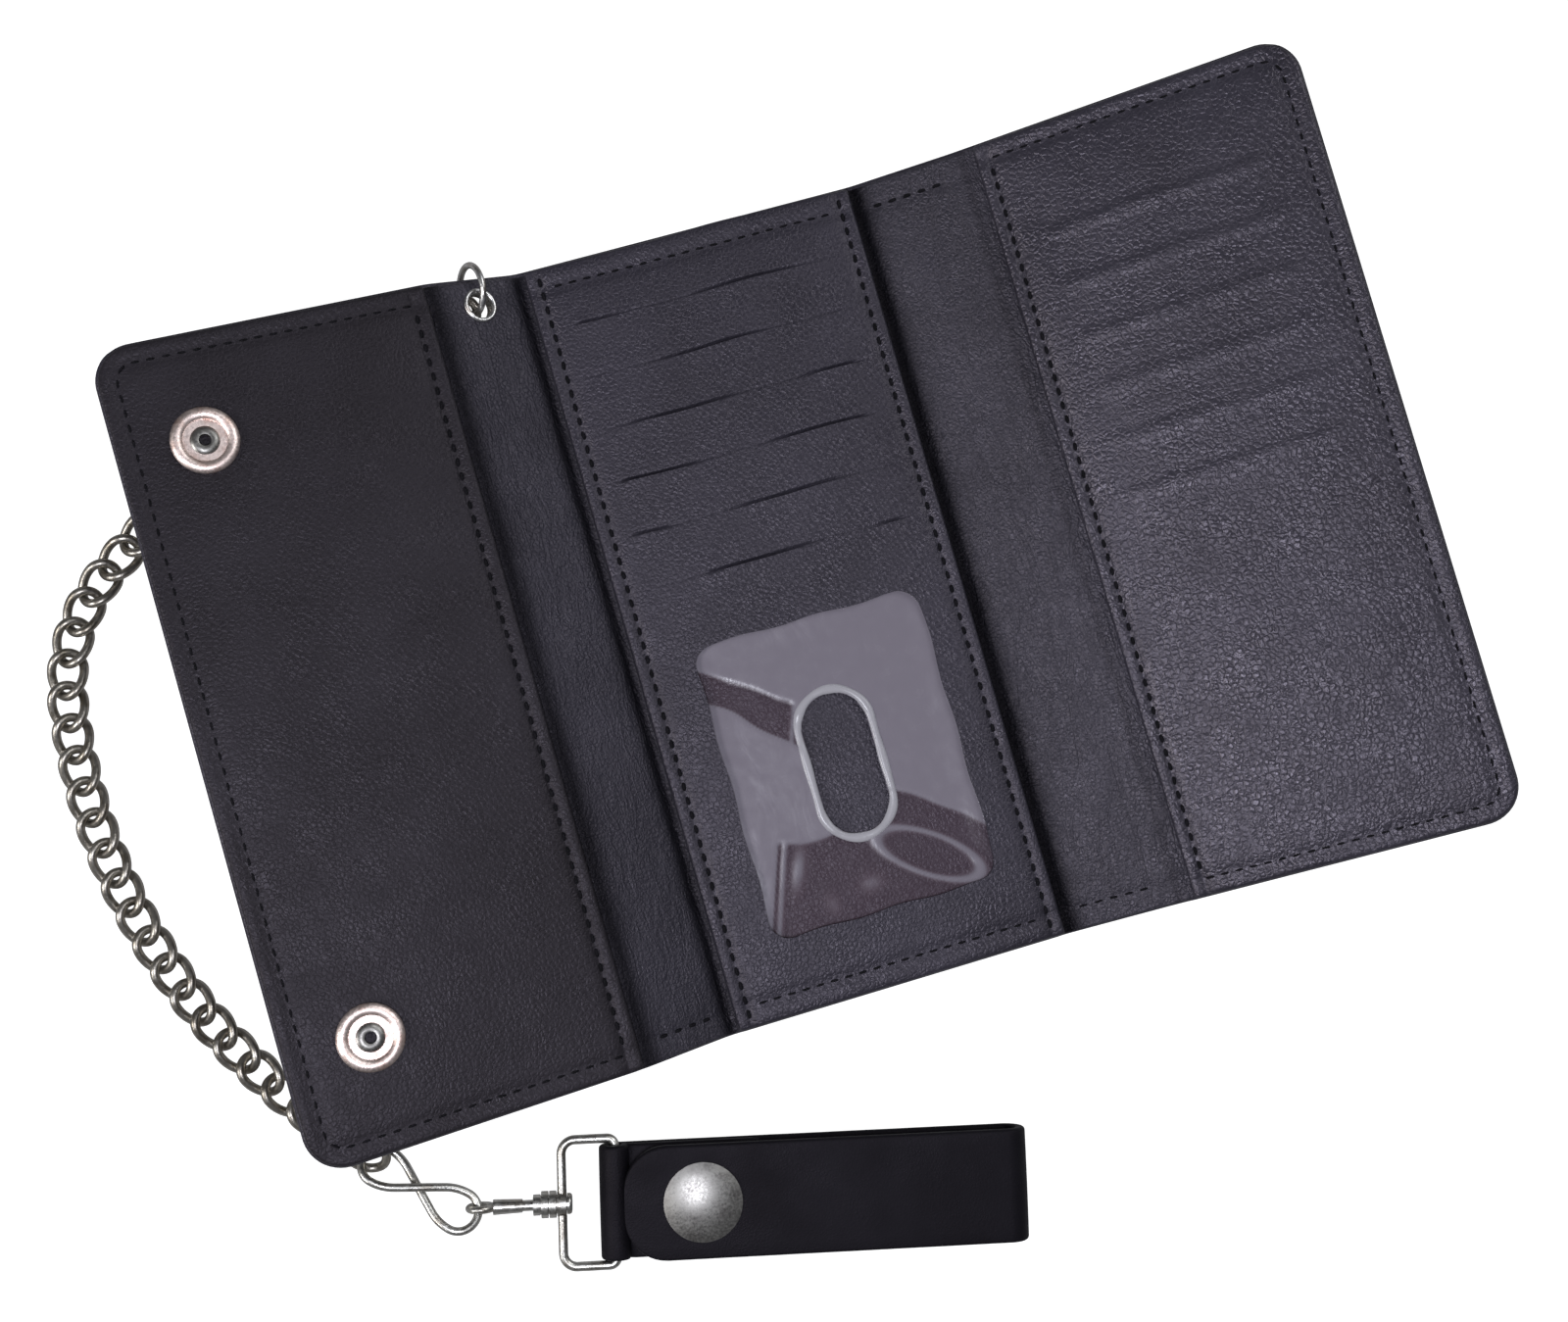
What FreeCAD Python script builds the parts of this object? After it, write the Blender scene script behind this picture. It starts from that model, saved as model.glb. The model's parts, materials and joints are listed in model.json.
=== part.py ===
"""An open tri-fold chain wallet with its chain, swivel and a belt strap that snaps shut.

Frame: millimetres. The origin is the centre of the middle panel, on the plane that the panel rests on.
+X points to the right panel, +Y to the top edge, where the chain's eyelet is, and +Z up.
"""
import FreeCAD, Part
import math
import os

import Sketcher
from FreeCAD import Placement, Rotation, Vector

X_AXIS = Vector(1, 0, 0)
Y_AXIS = Vector(0, 1, 0)
Z_AXIS = Vector(0, 0, 1)

doc = FreeCAD.newDocument("chain_wallet")
sheet = doc.addObject("Spreadsheet::Sheet", "Sizes")

# Every driving dimension, in millimetres and degrees.
SIZES = {
    # the open wallet, along X from left to right
    "wallet_height": 166,
    "left_panel_width": 68,
    "left_gusset_width": 20.5,
    "middle_width": 74,
    "right_gusset_width": 22.7,
    "right_panel_width": 73,
    # how far each part of the open wallet leans up from the table
    "left_gusset_slope": 30,
    "left_panel_slope": 12,
    "right_gusset_slope": 13.6,
    "right_panel_slope": 18.5,
    # the leather and cloth layers, from the outside of the wallet in
    "shell_thickness": 1.2,
    "bill_gap": 0.8,
    "lining_thickness": 0.5,
    "left_pocket_depth": 0.4,
    "middle_pocket_depth": 1.6,
    "right_pocket_depth": 1.0,
    "face_thickness": 1.0,
    "gusset_strip_thickness": 1.0,
    # edges, folds and seams
    "corner_radius": 8,
    "seam_width": 4.5,
    "face_inset": 0.5,
    "shell_fold_gap": 0.15,
    "left_outer_fold_gap": 0.35,
    "strip_fold_gap": 1.2,
    "left_fold_setback": 1.2,
    "middle_left_setback": 1.8,
    "middle_right_setback": 0.8,
    "right_lining_setback": 3.0,
    "right_fold_setback": 4.8,
    "bill_mouth_drop": 1.0,
    # card slots and their pockets
    "slot_count": 6,
    "slot_length": 55,
    "slot_width": 0.6,
    "slot_spacing": 11.5,
    "first_slot_y": 68.5,
    "pocket_sheet_thickness": 0.2,
    "pocket_sheet_step": 0.26,
    "pocket_sheet_width": 60,
    "pocket_floor_y": 0,
    "hidden_pocket_thickness": 0.4,
    "hidden_pocket_step": 0.45,
    "hidden_pocket_margin": 6,
    "hidden_pocket_floor_y": -10,
    "hidden_pocket_top_drop": 22,
    "pocket_back_thickness": 0.3,
    "sheet_play": 0.02,
    # identity card window
    "window_width": 49,
    "window_height": 63,
    "window_x": 1.5,
    "window_y": -35.3,
    "window_radius": 4.5,
    "window_sheet_thickness": 0.35,
    "window_sheet_border": 3,
    "thumb_hole_width": 14,
    "thumb_hole_height": 30,
    "thumb_rim_width": 1.8,
    "thumb_rim_height": 0.5,
    # wallet snaps
    "snap_y": 60.2,
    "snap_from_left_fold": 51,
    "snap_from_right_fold": 35.9,
    "snap_hole_radius": 2.2,
    "cap_radius": 7.4,
    "cap_height": 1.4,
    "socket_radius": 6.65,
    "socket_height": 1.6,
    "socket_mouth_radius": 4.3,
    "stud_radius": 5.6,
    "stud_head_radius": 3.95,
    "stud_head_height": 1.7,
    "stud_flange": 0.6,
    "socket_floor": 0.5,
    "back_post_radius": 4.6,
    "back_post_flange": 0.4,
    "back_post_tube": 1.85,
    "back_post_lip": 0.7,
    "post_bore": 1.1,
    "cap_post_play": 0.15,
    "cap_post_lip": 0.8,
    "snap_edge_round": 0.3,
    "snap_play": 0.02,
    "stud_wall": 0.75,
    "stud_hole_radius": 1.9,
    # eyelet and chain ring
    "eyelet_from_fold": 10.4,
    "eyelet_y": 76.8,
    "eyelet_radius": 3.7,
    "eyelet_hole_radius": 2.7,
    "eyelet_hole_clearance": 0.4,
    "eyelet_crown": 0.5,
    "eyelet_wall": 0.35,
    "eyelet_lip": 0.1,
    "washer_thickness": 0.25,
    "ring_radius": 5.07,
    "ring_gauge": 1.4,
    "ring_turn": -2.5,
    "ring_reach": 4.108,
    "ring_drop": 1.025,
    # curb chain; the end link lies where the ring's lower side passes through it
    "end_link_x": -50.788,
    "end_link_y": 76.648,
    "end_link_height": 2.333,
    "end_link_heading": 208.8,
    "end_link_pitch": -0.75,
    "end_link_roll": -0.63,
    "link_half_length": 4.5,
    "link_half_width": 3.2,
    "link_twist": 1.15,
    "link_gauge": 1.85,
    "link_count": 35,
    "links_per_run": 3,
    "chain_height": 2.25,
    "chain_start_x": -57.03,
    "chain_start_y": 74.585,
    "chain_start_heading": 187.57,
    "first_bend_radius": 169.63,
    "first_bend_angle": 27.846,
    "second_bend_radius": 36.8,
    "second_bend_angle": 46.705,
    "third_bend_radius": 123.47,
    "third_bend_angle": 35.543,
    "fourth_bend_radius": 137.09,
    "fourth_bend_angle": 15.036,
    # figure-eight link
    "eight_half_length": 13.1,
    "eight_half_width": 3.9,
    "eight_gauge": 1.7,
    "eight_cross_over": 0.92,
    "eight_x": -105.96,
    "eight_y": -93.987,
    "eight_height": 3.688,
    "eight_heading": -46.14,
    "eight_pitch": -2.6,
    "eight_roll": -26.26,
    # swivel and its rectangular frame
    "swivel_x": -95.3,
    "swivel_y": -101.35,
    "swivel_height": 3.4,
    "swivel_heading": -14.2,
    "eye_radius": 2.3,
    "eye_gauge": 1.6,
    "pin_radius": 1.1,
    "pin_clearance": 0.08,
    "cone_start": 2.5,
    "cone_start_radius": 1.55,
    "cone_end_radius": 1.35,
    "cone_gap": 2.2,
    "rivet_head_radius": 2.1,
    "rivet_head_height": 1.0,
    "barrel_step": 0.6,
    "rib_depth": 0.8,
    "rib_gap": 0.25,
    "boss_radius": 2.4,
    "recess_play": 0.3,
    "barrel_start": 10.6,
    "barrel_length": 4.9,
    "barrel_radius": 2.7,
    "frame_length": 12.85,
    "frame_width": 27.4,
    "frame_gauge": 1.9,
    "frame_near_corner": 2.8,
    "frame_far_corner": 1.6,
    # belt strap
    "strap_width": 23,
    "strap_thickness": 2.0,
    "strap_length": 88,
    "strap_flap_length": 78.7,
    "strap_wrap_radius": 1.3,
    "strap_gap": 2.4,
    "strap_snap_from_bar": 17.6,
    "strap_tail_past_snap": 12,
    "strap_corner_radius": 8.5,
    "layer_gap": 0.15,
    "fold_split": 2,
    "strap_cap_radius": 8,
    "strap_cap_height": 1.6,
}


class Size:
    """The sheet's numbers, read back by name."""

    def __getattr__(self, name):
        return float(sheet.get(name))


for row, (alias, amount) in enumerate(SIZES.items(), start=1):
    sheet.set(f"A{row}", alias)
    sheet.set(f"B{row}", str(amount))
    sheet.setAlias(f"B{row}", alias)
doc.recompute()
size = Size()


# Shared helpers

def radians(degrees):
    return math.radians(degrees)


def origin_item(body, role):
    """The body's own origin plane or axis with this role."""
    return next(item for item in body.Origin.OriginFeatures if item.Role == role)


def new_body(label, placement):
    """An empty body with this label, standing at this place."""
    body = doc.addObject("PartDesign::Body", label)
    body.Label = label
    body.Placement = placement
    return body


def new_sketch(body, name, role="XY_Plane", height="0"):
    """A sketch on one of the body's origin planes, raised by the height expression."""
    sketch = body.newObject("Sketcher::SketchObject", f"{body.Name}_{name}")
    sketch.AttachmentSupport = [(origin_item(body, role), "")]
    sketch.MapMode = "FlatFace"
    sketch.setExpression("AttachmentOffset.Base.z", height)
    return sketch


def bind(sketch, kind, element, point, expression):
    """Holds one point of the sketch at this distance from the sketch's origin."""
    index = sketch.addConstraint(Sketcher.Constraint(kind, -1, 1, element, point, 1.0))
    sketch.setExpression(f"Constraints[{index}]", expression)


def rectangle(sketch, left, right, bottom, top):
    """A rectangle whose sides sit at these four expressions."""
    corners = [Vector(-1, -1), Vector(1, -1), Vector(1, 1), Vector(-1, 1)]
    first = sketch.GeometryCount
    for i in range(4):
        sketch.addGeometry(Part.LineSegment(corners[i], corners[(i + 1) % 4]))
    for i in range(4):
        following = first + (i + 1) % 4
        sketch.addConstraint(Sketcher.Constraint("Coincident", first + i, 2, following, 1))
    for i, direction in enumerate(["Horizontal", "Vertical", "Horizontal", "Vertical"]):
        sketch.addConstraint(Sketcher.Constraint(direction, first + i))
    bind(sketch, "DistanceX", first, 1, left)
    bind(sketch, "DistanceX", first + 1, 1, right)
    bind(sketch, "DistanceY", first, 1, bottom)
    bind(sketch, "DistanceY", first + 2, 1, top)


def circle(sketch, x, y, radius):
    """A circle with its centre and radius at these expressions."""
    first = sketch.addGeometry(Part.Circle(Vector(1, 1), Z_AXIS, 1))
    bind(sketch, "DistanceX", first, 3, x)
    bind(sketch, "DistanceY", first, 3, y)
    index = sketch.addConstraint(Sketcher.Constraint("Radius", first, 1.0))
    sketch.setExpression(f"Constraints[{index}]", radius)


def pad(body, name, sketch, length):
    """Grows the sketch upward by the length expression."""
    grown = body.newObject("PartDesign::Pad", f"{body.Name}_{name}")
    grown.Profile = sketch
    grown.setExpression("Length", length)
    doc.recompute()


def pocket_up(body, name, sketch, length):
    """Cuts the sketch upward by the length expression, and checks that it removed something."""
    before = body.Shape.Volume
    cut = body.newObject("PartDesign::Pocket", f"{body.Name}_{name}")
    cut.Profile = sketch
    cut.Reversed = True
    cut.setExpression("Length", length)
    doc.recompute()
    if body.Shape.Volume >= before:
        raise RuntimeError(f"{cut.Name} cuts nothing")
    return cut


def round_corners(body, name, radius, wanted):
    """Rounds the upright edges whose middle point satisfies wanted(point)."""
    base = body.Tip
    names = []
    for number, edge in enumerate(base.Shape.Edges, start=1):
        start, end = edge.Vertexes[0].Point, edge.Vertexes[-1].Point
        upright = (end - start).Length > 0 and abs((end - start).normalize().z) > 0.99
        if upright and wanted((start + end) * 0.5):
            names.append(f"Edge{number}")
    fillet = body.newObject("PartDesign::Fillet", f"{body.Name}_{name}")
    fillet.Base = (base, names)
    fillet.setExpression("Radius", radius)
    body.Tip = fillet
    doc.recompute()


def feature(label, shape, placement=Placement()):
    """A sub-part whose shape is made by the geometry functions."""
    part = doc.addObject("Part::Feature", label)
    part.Label = label
    part.Shape = shape
    part.Placement = placement
    return part


def compound(label, members, placement=Placement()):
    """A sub-part made of several separate solids."""
    part = doc.addObject("Part::Compound", label)
    part.Label = label
    part.Links = members
    part.Placement = placement
    return part


def turned(degrees, axis=Y_AXIS):
    return Rotation(axis, degrees)


def tilted(heading, pitch, roll):
    """A roll about X, then a pitch about Y, then a turn to the heading about Z."""
    return turned(heading, Z_AXIS).multiply(turned(pitch)).multiply(turned(roll, X_AXIS))


# Where each part of the wallet stands. Each local frame starts on a fold line, at the shell's underside.

def lifted(fold, slope, side):
    """The place of a part that leans up by slope from a fold line; side is +1 for right, -1 for left."""
    rotation = turned(-side * slope)
    return Placement(fold - rotation.multVec(Z_AXIS) * size.shell_thickness, rotation)


def along(fold, slope, side, distance):
    """The point at this distance from a fold line, up the slope."""
    run = side * math.cos(radians(slope)) * distance
    rise = math.sin(radians(slope)) * distance
    return fold + Vector(run, 0, rise)


# The folds lie at the top surface of the shell leather, the side that the wallet closes towards.
left_inner_fold = Vector(-size.middle_width / 2, 0, size.shell_thickness)
right_inner_fold = Vector(size.middle_width / 2, 0, size.shell_thickness)
left_outer_fold = along(left_inner_fold, size.left_gusset_slope, -1, size.left_gusset_width)
right_outer_fold = along(right_inner_fold, size.right_gusset_slope, 1, size.right_gusset_width)

MIDDLE = Placement()
LEFT_GUSSET = lifted(left_inner_fold, size.left_gusset_slope, -1)
LEFT_PANEL = lifted(left_outer_fold, size.left_panel_slope, -1)
RIGHT_GUSSET = lifted(right_inner_fold, size.right_gusset_slope, 1)
RIGHT_PANEL = lifted(right_outer_fold, size.right_panel_slope, 1)

HALF = "Sizes.wallet_height / 2"
LINING_LOW = "Sizes.shell_thickness + Sizes.bill_gap"
POCKET_LOW = LINING_LOW + " + Sizes.lining_thickness"


def outer_corners(limit, side):
    """A test for the corners beyond x = limit, on the side given by +1 or -1."""
    return lambda point: point.x * side > limit * side


LEFT_OUTER = outer_corners(-size.left_panel_width / 2, -1)
RIGHT_OUTER = outer_corners(size.right_panel_width / 2, 1)


# Outer leather

def panel_shell(label, placement, left, right, left_fold=None, right_fold=None, rounded=None):
    """A panel of the outer leather: a raised seam round its closed edges, and the bill compartment inside.
    left_fold and right_fold say how far the seam stays back from a fold on that side."""
    body = new_body(label, placement)
    outline = new_sketch(body, "outline")
    rectangle(outline, left, right, f"-({HALF})", HALF)
    pad(body, "leather", outline, LINING_LOW)
    if rounded:
        round_corners(body, "corners", "Sizes.corner_radius", rounded)
    beyond = "Sizes.corner_radius"
    hollow = new_sketch(body, "hollow", height="Sizes.shell_thickness")
    rectangle(
        hollow,
        f"{left} - {beyond}" if left_fold else f"{left} + Sizes.seam_width",
        f"{right} + {beyond}" if right_fold else f"{right} - Sizes.seam_width",
        f"-({HALF}) + Sizes.seam_width",
        f"{HALF} + {beyond}",
    )
    pocket_up(body, "bill_compartment", hollow, "Sizes.bill_gap * 2")
    if left_fold:
        cut_back(body, "left_fold", f"{left} - {beyond}", f"{left} + {left_fold}")
    if right_fold:
        cut_back(body, "right_fold", f"{right} - {right_fold}", f"{right} + {beyond}")
    return body


def cut_back(body, name, left, right):
    """Takes the raised seam away between two places, so that the wallet can fold there."""
    sketch = new_sketch(body, name, height="Sizes.shell_thickness")
    rectangle(sketch, left, right, f"-({HALF}) - 1", f"{HALF} + 1")
    pocket_up(body, f"{name}_cut", sketch, "Sizes.bill_gap * 2")


def drill(body, name, positions, radius, low="-1"):
    """Through holes at pairs of x and y expressions, from the low height up."""
    sketch = new_sketch(body, name, height=low)
    for x, y in positions:
        circle(sketch, x, y, radius)
    pocket_up(body, f"{name}_cut", sketch, "20")


def snap_positions(x):
    return [(x, "Sizes.snap_y"), (x, "-Sizes.snap_y")]


LEFT_SNAPS = snap_positions("-Sizes.snap_from_left_fold")
RIGHT_SNAPS = snap_positions("Sizes.snap_from_right_fold")
EYELET_PLACE = [("-Sizes.eyelet_from_fold", "Sizes.eyelet_y")]


def outer_leather():
    gap = "Sizes.shell_fold_gap"
    panel_shell(
        "middle_shell", MIDDLE,
        f"-Sizes.middle_width / 2 + {gap}", f"Sizes.middle_width / 2 - {gap}",
        "Sizes.middle_left_setback", "Sizes.middle_right_setback",
    )
    left = panel_shell(
        "left_panel_shell", LEFT_PANEL, "-Sizes.left_panel_width", "-Sizes.left_outer_fold_gap",
        right_fold="Sizes.left_fold_setback", rounded=LEFT_OUTER,
    )
    drill(left, "snap_holes", LEFT_SNAPS, "Sizes.snap_hole_radius")
    right = panel_shell(
        "right_panel_shell", RIGHT_PANEL, gap, "Sizes.right_panel_width",
        left_fold="Sizes.right_lining_setback", rounded=RIGHT_OUTER,
    )
    drill(right, "snap_holes", RIGHT_SNAPS, "Sizes.snap_hole_radius")


def flat_sheet(label, placement, left, right, bottom, top, height, thickness):
    """A plain rectangular sheet."""
    body = new_body(label, placement)
    outline = new_sketch(body, "outline", height=height)
    rectangle(outline, left, right, bottom, top)
    pad(body, "sheet", outline, thickness)
    return body


def gussets():
    """The two fold strips: outer leather and inner leather, the left one drilled for the eyelet."""
    gap, strip_gap = "Sizes.shell_fold_gap", "Sizes.strip_fold_gap"
    low, high = f"-({HALF})", HALF
    inner_high = f"{HALF} - Sizes.bill_mouth_drop"
    left_shell = flat_sheet(
        "left_gusset_shell", LEFT_GUSSET, "-Sizes.left_gusset_width + Sizes.left_outer_fold_gap", f"-{gap}",
        low, high, "0", "Sizes.shell_thickness",
    )
    left_strip = flat_sheet(
        "left_gusset_strip", LEFT_GUSSET, f"-Sizes.left_gusset_width + {strip_gap}", f"-{strip_gap}",
        low, inner_high, "Sizes.shell_thickness", "Sizes.gusset_strip_thickness",
    )
    for body in (left_shell, left_strip):
        drill(body, "eyelet_hole", EYELET_PLACE, "Sizes.eyelet_hole_radius + Sizes.eyelet_hole_clearance")
    flat_sheet(
        "right_gusset_shell", RIGHT_GUSSET, gap, f"Sizes.right_gusset_width - {gap}",
        low, high, "0", "Sizes.shell_thickness",
    )
    flat_sheet(
        "right_gusset_strip", RIGHT_GUSSET, strip_gap, f"Sizes.right_gusset_width - {strip_gap}",
        low, inner_high, "Sizes.shell_thickness", "Sizes.gusset_strip_thickness",
    )


# Inner leather and cloth

INNER_LOW = f"-({HALF}) + Sizes.face_inset"
INNER_HIGH = f"{HALF} - Sizes.bill_mouth_drop"
PANEL_SPANS = {
    "left": ("-Sizes.left_panel_width + Sizes.face_inset", "-Sizes.left_fold_setback"),
    "middle": (
        "-Sizes.middle_width / 2 + Sizes.middle_left_setback",
        "Sizes.middle_width / 2 - Sizes.middle_right_setback",
    ),
    "right": ("Sizes.right_fold_setback", "Sizes.right_panel_width - Sizes.face_inset"),
}


def linings():
    """The cloth that closes the bill compartment from the inside."""
    for side, placement in (("left", LEFT_PANEL), ("middle", MIDDLE), ("right", RIGHT_PANEL)):
        left, right = PANEL_SPANS[side]
        if side == "right":
            left = "Sizes.right_lining_setback"
        body = flat_sheet(
            f"{side}_lining", placement, left, right, INNER_LOW, INNER_HIGH,
            LINING_LOW, "Sizes.lining_thickness",
        )
        if side == "left":
            round_corners(body, "corners", "Sizes.corner_radius - Sizes.face_inset", LEFT_OUTER)
            drill(body, "snap_holes", LEFT_SNAPS, "Sizes.snap_hole_radius")
        if side == "right":
            round_corners(body, "corners", "Sizes.corner_radius - Sizes.face_inset", RIGHT_OUTER)


def face(side, placement, pocket_depth, rounded=None):
    """An inner leather face with a turned edge all round and a shallow pocket behind it."""
    left, right = PANEL_SPANS[side]
    body = flat_sheet(
        f"{side}_face", placement, left, right, INNER_LOW, INNER_HIGH,
        POCKET_LOW, f"{pocket_depth} + Sizes.face_thickness",
    )
    if rounded:
        round_corners(body, "corners", "Sizes.corner_radius - Sizes.face_inset", rounded)
    hollow = new_sketch(body, "hollow", height=f"{POCKET_LOW} - 1")
    rectangle(
        hollow,
        f"{left} + Sizes.seam_width", f"{right} - Sizes.seam_width",
        f"{INNER_LOW} + Sizes.seam_width", f"{INNER_HIGH} - Sizes.seam_width",
    )
    pocket_up(body, "pocket", hollow, f"{pocket_depth} + 1")
    return body


def faces():
    left = face("left", LEFT_PANEL, "Sizes.left_pocket_depth", LEFT_OUTER)
    drill(left, "snap_holes", LEFT_SNAPS, "Sizes.snap_hole_radius")
    face("right", RIGHT_PANEL, "Sizes.right_pocket_depth", RIGHT_OUTER)
    middle = face("middle", MIDDLE, "Sizes.middle_pocket_depth")
    cut_window(middle)
    cut_slots(middle)


def cut_window(body):
    """The opening in front of the identity card, with rounded corners."""
    sketch = new_sketch(body, "window", height="-1")
    rectangle(
        sketch,
        "Sizes.window_x - Sizes.window_width / 2", "Sizes.window_x + Sizes.window_width / 2",
        "Sizes.window_y - Sizes.window_height / 2", "Sizes.window_y + Sizes.window_height / 2",
    )
    pocket_up(body, "window_cut", sketch, "20")

    def in_window(point):
        near_x = abs(abs(point.x - size.window_x) - size.window_width / 2) < 0.1
        near_y = abs(abs(point.y - size.window_y) - size.window_height / 2) < 0.1
        return near_x and near_y

    round_corners(body, "window_corners", "Sizes.window_radius", in_window)


def cut_slots(body):
    """Card slots, one under the other."""
    sketch = new_sketch(body, "slot", height="-1")
    rectangle(
        sketch,
        "-Sizes.slot_length / 2", "Sizes.slot_length / 2",
        "Sizes.first_slot_y - Sizes.slot_width / 2", "Sizes.first_slot_y + Sizes.slot_width / 2",
    )
    cut = pocket_up(body, "slot_cut", sketch, "20")
    pattern = body.newObject("PartDesign::LinearPattern", "middle_face_slots")
    pattern.Originals = [cut]
    pattern.Direction = (sketch, ["V_Axis"])
    pattern.Reversed = True
    pattern.setExpression("Length", "Sizes.slot_spacing * (Sizes.slot_count - 1)")
    pattern.setExpression("Occurrences", "Sizes.slot_count")
    body.Tip = pattern
    doc.recompute()


def box(label, left, right, bottom, top, low, thickness):
    """A box whose sides are bound to these expressions."""
    part = doc.addObject("Part::Box", label)
    part.setExpression("Length", f"({right}) - ({left})")
    part.setExpression("Width", f"({top}) - ({bottom})")
    part.setExpression("Height", thickness)
    part.setExpression("Placement.Base.x", left)
    part.setExpression("Placement.Base.y", bottom)
    part.setExpression("Placement.Base.z", low)
    return part


def card_pockets():
    """Stepped pocket sheets behind the card slots: each one reaches up to its own slot."""
    half = "Sizes.pocket_sheet_width / 2"
    sheets = []
    for number in range(int(size.slot_count)):
        top = f"Sizes.first_slot_y - Sizes.slot_spacing * {number} + 1"
        low = f"{POCKET_LOW} + Sizes.sheet_play + Sizes.pocket_sheet_step * {number}"
        sheets.append(
            box(f"card_pocket_{number + 1}", f"-{half}", half, "Sizes.pocket_floor_y", top,
                low, "Sizes.pocket_sheet_thickness")
        )
    compound("card_pocket_sheets", sheets)


def hidden_pockets():
    """Two card pocket sheets under the right panel's leather, whose edges press through it."""
    sheets = []
    for number in range(2):
        top = f"{HALF} - Sizes.hidden_pocket_top_drop - {number} * Sizes.slot_spacing"
        low = f"{POCKET_LOW} + Sizes.sheet_play + Sizes.hidden_pocket_step * {number}"
        sheets.append(
            box(f"right_pocket_{number + 1}",
                "Sizes.right_fold_setback + Sizes.hidden_pocket_margin",
                "Sizes.right_panel_width - Sizes.hidden_pocket_margin",
                "Sizes.hidden_pocket_floor_y", top, low, "Sizes.hidden_pocket_thickness")
        )
    compound("right_card_pockets", sheets, RIGHT_PANEL)


# Identity card window

def obround(sketch, x, y, width, height):
    """An upright slot outline: two straight sides joined by half circles."""
    radius, straight = width / 2, (height - width) / 2
    sketch.addGeometry(Part.LineSegment(Vector(x - radius, y + straight), Vector(x - radius, y - straight)))
    sketch.addGeometry(Part.LineSegment(Vector(x + radius, y - straight), Vector(x + radius, y + straight)))
    for end in (1, -1):
        middle = Vector(x, y + end * (straight + radius))
        low = Vector(x - end * radius, y + end * straight)
        high = Vector(x + end * radius, y + end * straight)
        sketch.addGeometry(Part.Arc(high, middle, low))


def window():
    """The clear sheet behind the opening, the rim round its thumb hole, and the cloth behind the card."""
    top_of_pocket = f"{POCKET_LOW} + Sizes.middle_pocket_depth"
    low = f"{top_of_pocket} - Sizes.window_sheet_thickness"
    half_width = "(Sizes.window_width / 2 + Sizes.window_sheet_border)"
    half_height = "(Sizes.window_height / 2 + Sizes.window_sheet_border)"
    left, right = f"Sizes.window_x - {half_width}", f"Sizes.window_x + {half_width}"
    bottom, top = f"Sizes.window_y - {half_height}", f"Sizes.window_y + {half_height}"
    clear = flat_sheet("id_window", MIDDLE, left, right, bottom, top, low, "Sizes.window_sheet_thickness")
    rim_width = size.thumb_hole_width + 2 * size.thumb_rim_width
    rim_height = size.thumb_hole_height + 2 * size.thumb_rim_width
    rim = new_sketch(clear, "rim", height=low)
    obround(rim, size.window_x, size.window_y, rim_width, rim_height)
    pad(clear, "rim_bead", rim, "Sizes.window_sheet_thickness + Sizes.thumb_rim_height")
    hole = new_sketch(clear, "thumb_hole", height="-1")
    obround(hole, size.window_x, size.window_y, size.thumb_hole_width, size.thumb_hole_height)
    pocket_up(clear, "thumb_hole_cut", hole, "20")
    back_low = f"{POCKET_LOW} + Sizes.sheet_play"
    flat_sheet("id_pocket_back", MIDDLE, left, right, bottom, top, back_low, "Sizes.pocket_back_thickness")


# Turned metal parts

def turned_part(label, outline, placement, pitch=None):
    """A part turned about its own Z axis. The outline is a closed list of (radius, height) points, in which
    an item of three points is an arc through them. A pitch repeats it, centred on the place, along Y."""
    body = new_body(label, placement)
    body.AllowCompound = True
    sketch = new_sketch(body, "outline", role="XZ_Plane")
    previous = None
    first = None
    for item in outline:
        points = item if isinstance(item[0], tuple) else (item,)
        points = [Vector(radius, height) for radius, height in points]
        if previous is not None and (points[0] - previous).Length > 1e-6:
            sketch.addGeometry(Part.LineSegment(previous, points[0]))
        if len(points) == 3:
            sketch.addGeometry(Part.Arc(*points))
        first = first or points[0]
        previous = points[-1]
    if (first - previous).Length > 1e-6:
        sketch.addGeometry(Part.LineSegment(previous, first))
    doc.recompute()
    revolution = body.newObject("PartDesign::Revolution", f"{body.Name}_turned")
    revolution.Profile = sketch
    revolution.ReferenceAxis = (sketch, ["V_Axis"])
    revolution.Angle = 360
    doc.recompute()
    if pitch:
        pattern = body.newObject("PartDesign::LinearPattern", f"{body.Name}_pair")
        pattern.Originals = [revolution]
        pattern.Direction = (origin_item(body, "Y_Axis"), [""])
        pattern.setExpression("Length", pitch)
        pattern.Occurrences = 2
        body.Tip = pattern
        doc.recompute()
    return body


def at(placement, x, y, z):
    """The same orientation, moved to a point of the local frame."""
    return placement.multiply(Placement(Vector(x, y, z), Rotation()))


def cap_outline(radius, height, reach):
    """A domed cap below z = 0 with a hollow post that reaches up through the leather and is rolled over."""
    lip, rolled = 0.4, reach + 0.1
    post, bore = size.snap_hole_radius - size.cap_post_play, size.post_bore
    flare = post + size.cap_post_lip
    edge = (radius, -lip)
    crown = (0, -height)
    sagitta = height - lip
    sphere = (radius ** 2 + sagitta ** 2) / (2 * sagitta)
    half_way = math.asin(radius / sphere) / 2
    middle = (sphere * math.sin(half_way), -height + sphere * (1 - math.cos(half_way)))
    return [
        (crown, middle, edge),
        (radius, 0), (post, 0), (post, reach),
        (flare, reach), ((flare, rolled), (post + 0.25, rolled + 0.35), (bore + 0.1, rolled + 0.4)),
        (bore, rolled + 0.2), (bore, -lip / 2), (0, -lip / 2),
    ]


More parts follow.
